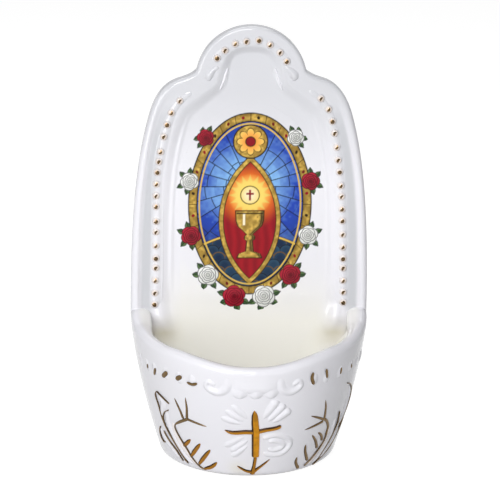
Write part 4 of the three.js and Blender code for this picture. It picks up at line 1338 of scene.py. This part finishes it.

# Where the glaze's tints and its painted light and shade lie: strengths, and sizes between which they fade
# in or out
# the cream tint on the plate: partly cream tone, partly painted light at the field's foot
FIELD_CREAM_AND_LIGHT = {"z": (56, 94), "x": (30, 42)}
# painted shade towards the crest: greyer upwards, standing for the dimmer light there
CREST_PAINTED_SHADE = {"most": 0.65, "z": (125, 175)}
# painted shade in the border's channel and, weaker, on the near side of the beads' band
CHANNEL_PAINTED_SHADE = {"starts": (0.2, 0.3), "ends": (0.42, 0.6), "foot": (64, 70), "top": (150, 185)}
BAND_PAINTED_SHADE = 0.8
BEAD_BLUSH = {"most": 0.6, "reach": (0.9, 2.0)}
NECK_SHADE_LIFT = {"boss": 0.0, "fold": 0.9}  # how far each part is kept out of the painted crest shade: the fold almost wholly, so that it shows as a painted highlight
PLATE_POOL = {"most": 0.6, "x": (40, 7), "z": (55, 5.5)}  # middles and widths
BOWL_CREAM_AND_LIGHT = {"rim": 0.55, "deep": 0.2, "z": (30, 58), "reach": (0.90, 0.965)}
BOWL_POOL = {"most": 0.6, "x": (30, 44), "y": (2, 18), "z": (46, 58)}
BOWL_STAIN = {"most": 0.3, "turn": (-9, 6), "z": (5, 4)}  # middles and widths
BARE_AND_SHADED_BELOW = 0.8  # height below which the bowl's downward faces are bare clay, made dark as a painted contact shadow line along the foot


def tint(piece, name, values):
    """Stores how strongly a tint of the glaze, painted light or painted shade shows at each point."""
    made = piece.data.attributes.new(name, "FLOAT", "POINT")
    made.data.foreach_set("value", np.clip(values, 0, 1))


# The stoup's pieces


def field_cream_and_light(x, z):
    """How creamy and bright the glaze is on the plate, most at the foot of the field: partly its cream
    tone, partly painted light as if bounced up from the bowl.
    """
    low = 1 - smoothstep(z, *FIELD_CREAM_AND_LIGHT["z"])
    inner = 1 - smoothstep(np.abs(x), *FIELD_CREAM_AND_LIGHT["x"])
    return low * inner


def crest_painted_shade(z):
    """Painted shade on the plate: greyer towards the crest, standing for the dimmer light there."""
    return CREST_PAINTED_SHADE["most"] * smoothstep(z, *CREST_PAINTED_SHADE["z"])


def border_share(x, z):
    """How far points lie across the border, from 0 at the outline to 1 at the field."""
    above_rim = LAND_POINTS + 1
    across = BORDER_INNER - BORDER_OUTER
    best = np.full(len(x), np.inf)
    share = np.ones(len(x))
    for start, way in zip(BORDER_OUTER[above_rim:], across[above_rim:]):
        part = ((np.abs(x) - start[0]) * way[0] + (z - start[1]) * way[1]) / (way @ way)
        off = np.hypot(np.abs(x) - start[0] - part * way[0], z - start[1] - part * way[1])
        closer = off < best
        best[closer], share[closer] = off[closer], part[closer]
    return share


def channel_painted_shade(share, z):
    """Painted shade in the border's channel and on the near side of the beads' band, standing for the
    shadow in the groove.
    """
    across = smoothstep(share, *CHANNEL_PAINTED_SHADE["starts"]) * (1 - smoothstep(share, *CHANNEL_PAINTED_SHADE["ends"]))
    return across * smoothstep(z, *CHANNEL_PAINTED_SHADE["foot"]) * (1 - smoothstep(z, *CHANNEL_PAINTED_SHADE["top"]))


def dress_plate():
    plate = make_plate()
    x, y, z = (points_of(plate) / MM).T
    share = border_share(x, z)
    front = y < FIELD_Y + 1
    # cream tone with painted light at the field's foot
    tint(plate, "cream_and_painted_light", field_cream_and_light(x, z))
    # the thin tint here is painted shade: towards the crest and in the border's channel
    tint(plate, "thin", np.maximum(crest_painted_shade(z), channel_painted_shade(share, z) * front))
    corner = swell(np.abs(x), *PLATE_POOL["x"]) * swell(z, *PLATE_POOL["z"])
    tint(plate, "pool", PLATE_POOL["most"] * corner * front)
    dress(plate, GLAZE, "glaze", "back_plate")


def dress_picture():
    film = make_film()
    x, y, z = (points_of(film) / MM).T
    # the field's cream with its painted light, and its painted shade, run on over the film
    tint(film, "cream_and_painted_light", field_cream_and_light(x, z))
    # painted shade towards the crest, as on the plate
    tint(film, "thin", crest_painted_shade(z))
    inks = film.data.attributes.new("print", "FLOAT_COLOR", "POINT")
    inks.data.foreach_set("color", paint_picture(x, z).ravel())
    dress(film, PRINT, "print", "picture_transfer")


def tint_bowl(bowl):
    """Creamier and brighter glaze inside, partly cream tone and partly painted light, pooled in the inner
    corners, and a pale stain at the front's foot.
    """
    x, y, z = (points_of(bowl) / MM).T
    from_plate = FIELD_Y - y
    turn = np.degrees(np.arctan2(x / HALF_WIDTH, from_plate / RIM_REACH))
    across, forward = outside(turn, np.maximum(z, 0.01))
    reach = np.hypot(x / across, from_plate / forward)
    within = 1 - smoothstep(reach, *BOWL_CREAM_AND_LIGHT["reach"])
    deep = 1 - smoothstep(z, *BOWL_CREAM_AND_LIGHT["z"])
    # cream tone with painted light inside the bowl
    tint(bowl, "cream_and_painted_light", within * (BOWL_CREAM_AND_LIGHT["rim"] + BOWL_CREAM_AND_LIGHT["deep"] * deep))
    corner = smoothstep(np.abs(x), *BOWL_POOL["x"]) * (1 - smoothstep(from_plate, *BOWL_POOL["y"]))
    corner *= 1 - smoothstep(z, *BOWL_POOL["z"])
    stain = swell(turn, *BOWL_STAIN["turn"]) * swell(z, *BOWL_STAIN["z"]) * (1 - within)
    tint(bowl, "pool", np.maximum(BOWL_POOL["most"] * within * corner, BOWL_STAIN["most"] * stain))


def dress_bowl():
    bowl = make_bowl()
    tint_bowl(bowl)
    dress(bowl, GLAZE, "glaze", "bowl")
    bowl.data.materials.append(CLAY_AND_SHADOW)
    # the lowest downward faces get the dark clay: bare foot and painted contact shadow
    for face in bowl.data.polygons:
        if face.normal.z < -0.1 and face.center.z < BARE_AND_SHADED_BELOW * MM:
            face.material_index = 1


def dress_band(node, line, width, places, base, height):
    """A band with its beads, blushing round their gold, and the caps as a piece of their own."""
    band, caps, spots = bead_band(node, line, width, places, base, height)
    x, y, z = (points_of(band) / MM).T
    near = np.min(np.hypot(x[:, None] - spots[:, 0], z[:, None] - spots[:, 2]), axis=1)
    tint(band, "blush", BEAD_BLUSH["most"] * (1 - smoothstep(near, *BEAD_BLUSH["reach"])))
    # the thin tint on the band is painted shade: towards the crest, and on its near side next to the
    # channel
    tint(band, "thin", np.maximum(crest_painted_shade(z), BAND_PAINTED_SHADE * channel_painted_shade(border_share(x, z), z)))
    dress(band, GLAZE, "glaze", node)
    dress(caps, SHADED_CAP_GOLD, "gold")


def half_step_past(end, before):
    return np.array(end) * 1.5 - np.array(before) * 0.5


def dress_border():
    for side, sign in SIDES:
        line, band, half = bead_line(side, sign)
        places = [(np.interp(z, line[:, 1], line[:, 0]), z) for z in BEAD_HEIGHTS[side]]
        dress_band("bead_band_" + side, band, 2 * half, places, CHANNEL_HEIGHT, BAND_HEIGHT)
    first = half_step_past(CREST_BEADS[0], CREST_BEADS[1])
    last = half_step_past(CREST_BEADS[-1], CREST_BEADS[-2])
    crest = smooth_path([first, *CREST_BEADS, last])
    dress_band("bead_band_crest", crest, CREST_BAND_WIDTH, CREST_BEADS, CREST_HEIGHT, CREST_BAND_HEIGHT)


def on_side(path, sign):
    return [(sign * u, v) for u, v in path]


def dress_neck():
    for side, sign in SIDES:
        scroll = []
        for part, form in NECK_SCROLL.items():
            piece = ridge(PLATE_SEAT, on_side(NECK_PATHS[part], sign), **form)
            z = points_of(piece)[:, 2] / MM
            # the fold is kept out of the painted shade, which makes it a painted bright streak
            tint(piece, "thin", crest_painted_shade(z) * (1 - NECK_SHADE_LIFT[part]))
            scroll.append(piece)
        node = "neck_scroll_" + side
        dress(join(node + "_glazed", scroll), GLAZE, "glaze", node)


def wear(stroke, least):
    """Thins the gold all over a stroke, to no less brown than the given share of its edge."""
    edge = stroke.data.attributes["edge"]
    values = np.empty(len(edge.data))
    edge.data.foreach_get("value", values)
    edge.data.foreach_set("value", np.maximum(values, least))


def sprig(node, ridges, material=GLAZE, slot="glaze"):
    """Ridges joined to one piece that stands for its node."""
    dress(join(node + "_relief", ridges), material, slot, node)


def dress_shell():
    """A broad drop under the middle of the lip that ends in three lobes."""
    degree = math.radians(flared(SHELL_MEASURED_AT)[1])
    body = [(SHELL["turn"], SHELL["top"]), (SHELL["turn"], SHELL["body_low"])]
    lobes = [ridge(WALL_SEAT, body, SHELL["width"] * degree, **SHELL_BODY)]
    for turn, width in SHELL_LOBES:
        path = [(turn, SHELL["joint"]), (turn, SHELL["low"])]
        lobes.append(ridge(WALL_SEAT, path, width * degree, **SHELL_LOBE))
    sprig("rim_shell", lobes)


def dress_lip(side, sign):
    """The scroll beside the shell, the single beads and the gold dabs on them."""
    sprig("rim_scroll_" + side, [ridge(WALL_SEAT, on_side(SCROLL_PATH, sign), **SCROLL)])
    for i, turn in enumerate(RIM_BEAD_TURNS[side]):
        path = [(sign * turn, z) for z in RIM_BEAD_ENDS]
        sprig(f"rim_bead_{side}_{i + 1}", [ridge(WALL_SEAT, path, **RIM_BEAD)])
    dabs = [ridge(WALL_SEAT, path, width, **DAB) for width, path in DABS[side]]
    dress(join("rim_dabs_" + side, dabs), BROWN, "gold")


def dress_rays():
    for fan, paths in RAYS.items():
        sprig("ray_" + fan, [ridge(WALL_SEAT, path, **RAY_FORMS[fan]) for path in paths])


def dress_cross():
    stem = ridge(WALL_SEAT, **CROSS_STEM)
    arms = ridge(WALL_SEAT, **CROSS_ARMS)
    wear(arms, ARM_WEAR)
    sprig("cross", [stem, arms], GOLD, "gold")
    foot = [ridge(WALL_SEAT, **leaf) for leaf in CROSS_FOOT]
    for leaf in foot:
        wear(leaf, SPRAY_WEAR)
    sprig("cross_foot", foot, GOLD, "gold")


def dress_wheat(side):
    """Grains with the tuft over them and the stalk behind: bright worn gold on the left, and on the right
    the darker thin gold as painted shade.
    """
    for i, path in enumerate(GRAINS[side]):
        grain = ridge(WALL_SEAT, path, GRAIN_WIDTH[side], **GRAIN)
        if side == "left":
            wear(grain, SPRAY_WEAR)
        # the right side's grains take the darker gold as painted shade
        sprig(f"wheat_grain_{side}_{i + 1}", [grain], GOLD if side == "left" else BROWN, "gold")
    root, *awns = TUFTS[side]
    tuft = [ridge(WALL_SEAT, root, **TUFT_ROOT)]
    tuft += [ridge(WALL_SEAT, path, **TUFT_AWN) for path in awns]
    sprig("wheat_tuft_" + side, tuft, BROWN, "gold")
    stalk = ridge(WALL_SEAT, STALKS[side], **STALK)
    tint(stalk, "blush", np.full(len(stalk.data.vertices), STALK_BLUSH))
    sprig("wheat_stem_" + side, [stalk])


def dress_leaves(side):
    """White blades beside the wheat, and the thin gold lines drawn round them."""
    for spot, path in BLADES[side].items():
        sprig(f"leaf_{spot}_{side}", [ridge(WALL_SEAT, path, **BLADE)])
    lines = [ridge(WALL_SEAT, path, **LINE) for path in LINES[side]]
    dress(join("leaf_lines_" + side, lines), BROWN, "gold")


def dress_stoup():
    dress_plate()
    dress_picture()
    dress_bowl()
    dress_border()
    dress_neck()
    dress_shell()
    for side, sign in SIDES:
        dress_lip(side, sign)
    dress_rays()
    dress_cross()
    for side in ("left", "right"):
        dress_wheat(side)
        dress_leaves(side)


# Floor, light and camera

LIT_MIDDLE = Vector((0, 0, 0.1))  # the spot that the lamps face, in metres
CAMERA = {"turn": -3.0, "rise": 17.0, "roll": 0.658, "away": 1100.0, "aim": (-0.98, 0, 103.34)}
FOCAL_LENGTH = 2466.7  # in points of the picture
PICTURE_WIDTH = 500
SENSOR_WIDTH = 36  # in millimetres


def seen_share(tree):
    """1 for rays that show a thing to the eye, straight or mirrored, and 0 for light on its way."""
    path = tree.nodes.new("ShaderNodeLightPath")
    seen = path.outputs["Is Camera Ray"]
    for other in ("Is Glossy Ray", "Is Transmission Ray"):
        either = tree.nodes.new("ShaderNodeMath")
        either.operation = "MAXIMUM"
        tree.links.new(seen, either.inputs[0])
        tree.links.new(path.outputs[other], either.inputs[1])
        seen = either.outputs[0]
    return seen


def choose(tree, kind, lit, shown):
    """Sends one shader to the light and the other to the eye."""
    choice = tree.nodes.new("ShaderNodeMixShader")
    out = tree.nodes.new(kind)
    tree.links.new(seen_share(tree), choice.inputs[0])
    tree.links.new(lit, choice.inputs[1])
    tree.links.new(shown, choice.inputs[2])
    tree.links.new(choice.outputs[0], out.inputs["Surface"])


def shader(tree, kind, **inputs):
    made = tree.nodes.new("ShaderNode" + kind)
    for socket, value in inputs.items():
        made.inputs[socket].default_value = value
    return made.outputs[0]


def stand_floor():
    """A pale floor that looks white to the eye and in reflections, and keeps a faint shadow."""
    floor = begin(bpy.ops.mesh.primitive_plane_add, size=6)
    floor.name = "floor"
    material = bpy.data.materials.new("floor")
    material.use_nodes = True
    tree = material.node_tree
    tree.nodes.clear()
    matt = shader(tree, "BsdfDiffuse", Color=(0.65, 0.65, 0.65, 1))
    thin = shader(tree, "BsdfDiffuse", Color=(0.22, 0.22, 0.22, 1))
    glow = shader(tree, "Emission", Strength=0.93)
    white = tree.nodes.new("ShaderNodeAddShader")
    tree.links.new(thin, white.inputs[0])
    tree.links.new(glow, white.inputs[1])
    choose(tree, "ShaderNodeOutputMaterial", matt, white.outputs[0])
    floor.data.materials.append(material)


def hang_backdrop():
    """A world that gives little light and looks pale to the eye and in reflections."""
    world = bpy.data.worlds.new("studio")
    bpy.context.scene.world = world
    world.use_nodes = True
    tree = world.node_tree
    tree.nodes.clear()
    air = shader(tree, "Background", Color=(0.97, 0.98, 1, 1), Strength=0.04)
    pale = shader(tree, "Background", Color=(0.97, 0.98, 1, 1), Strength=0.6)
    choose(tree, "ShaderNodeOutputWorld", air, pale)


def way_out(turn, rise):
    """The unit vector at degrees round from the front and up."""
    turn, rise = math.radians(turn), math.radians(rise)
    return Vector((math.sin(turn) * math.cos(rise), -math.cos(turn) * math.cos(rise), math.sin(rise)))


def soft_box(name, turn, rise, away, size, power):
    """A lamp at degrees round from the front and up, and metres away from the stoup's middle, facing it."""
    out = way_out(turn, rise)
    light = bpy.data.lights.new(name, "AREA")
    light.shape = "RECTANGLE"
    light.size, light.size_y = size
    light.energy = power
    lamp = bpy.data.objects.new(name, light)
    bpy.context.scene.collection.objects.link(lamp)
    lamp.location = LIT_MIDDLE + out * away
    lamp.rotation_mode = "QUATERNION"
    lamp.rotation_quaternion = (-out).to_track_quat("-Z", "Y")


def set_camera():
    """A long lens at the photograph's viewing angle."""
    back = way_out(CAMERA["turn"], CAMERA["rise"])
    aim = Vector(CAMERA["aim"]) * MM
    roll = Matrix.Rotation(math.radians(CAMERA["roll"]), 3, "Z")
    data = bpy.data.cameras.new("camera")
    data.sensor_width = SENSOR_WIDTH
    data.lens = FOCAL_LENGTH * SENSOR_WIDTH / PICTURE_WIDTH
    data.clip_start, data.clip_end = 0.01, 20
    camera = bpy.data.objects.new("camera", data)
    bpy.context.scene.collection.objects.link(camera)
    turn = (-back).to_track_quat("-Z", "Y").to_matrix() @ roll
    camera.matrix_world = Matrix.Translation(aim + back * (CAMERA["away"] * MM)) @ turn.to_4x4()
    bpy.context.scene.camera = camera


dress_stoup()
stand_floor()
hang_backdrop()
soft_box("key", -10, 30, 1.2, (0.5, 0.5), 8.7)
soft_box("front_left", -28, 6, 0.65, (0.3, 0.3), 1.3)
soft_box("top", 0, 75, 1.2, (0.9, 0.5), 2.6)
soft_box("back", 180, 55, 1.0, (0.8, 0.4), 4.0)
set_camera()
bpy.context.scene.view_settings.view_transform = "Standard"
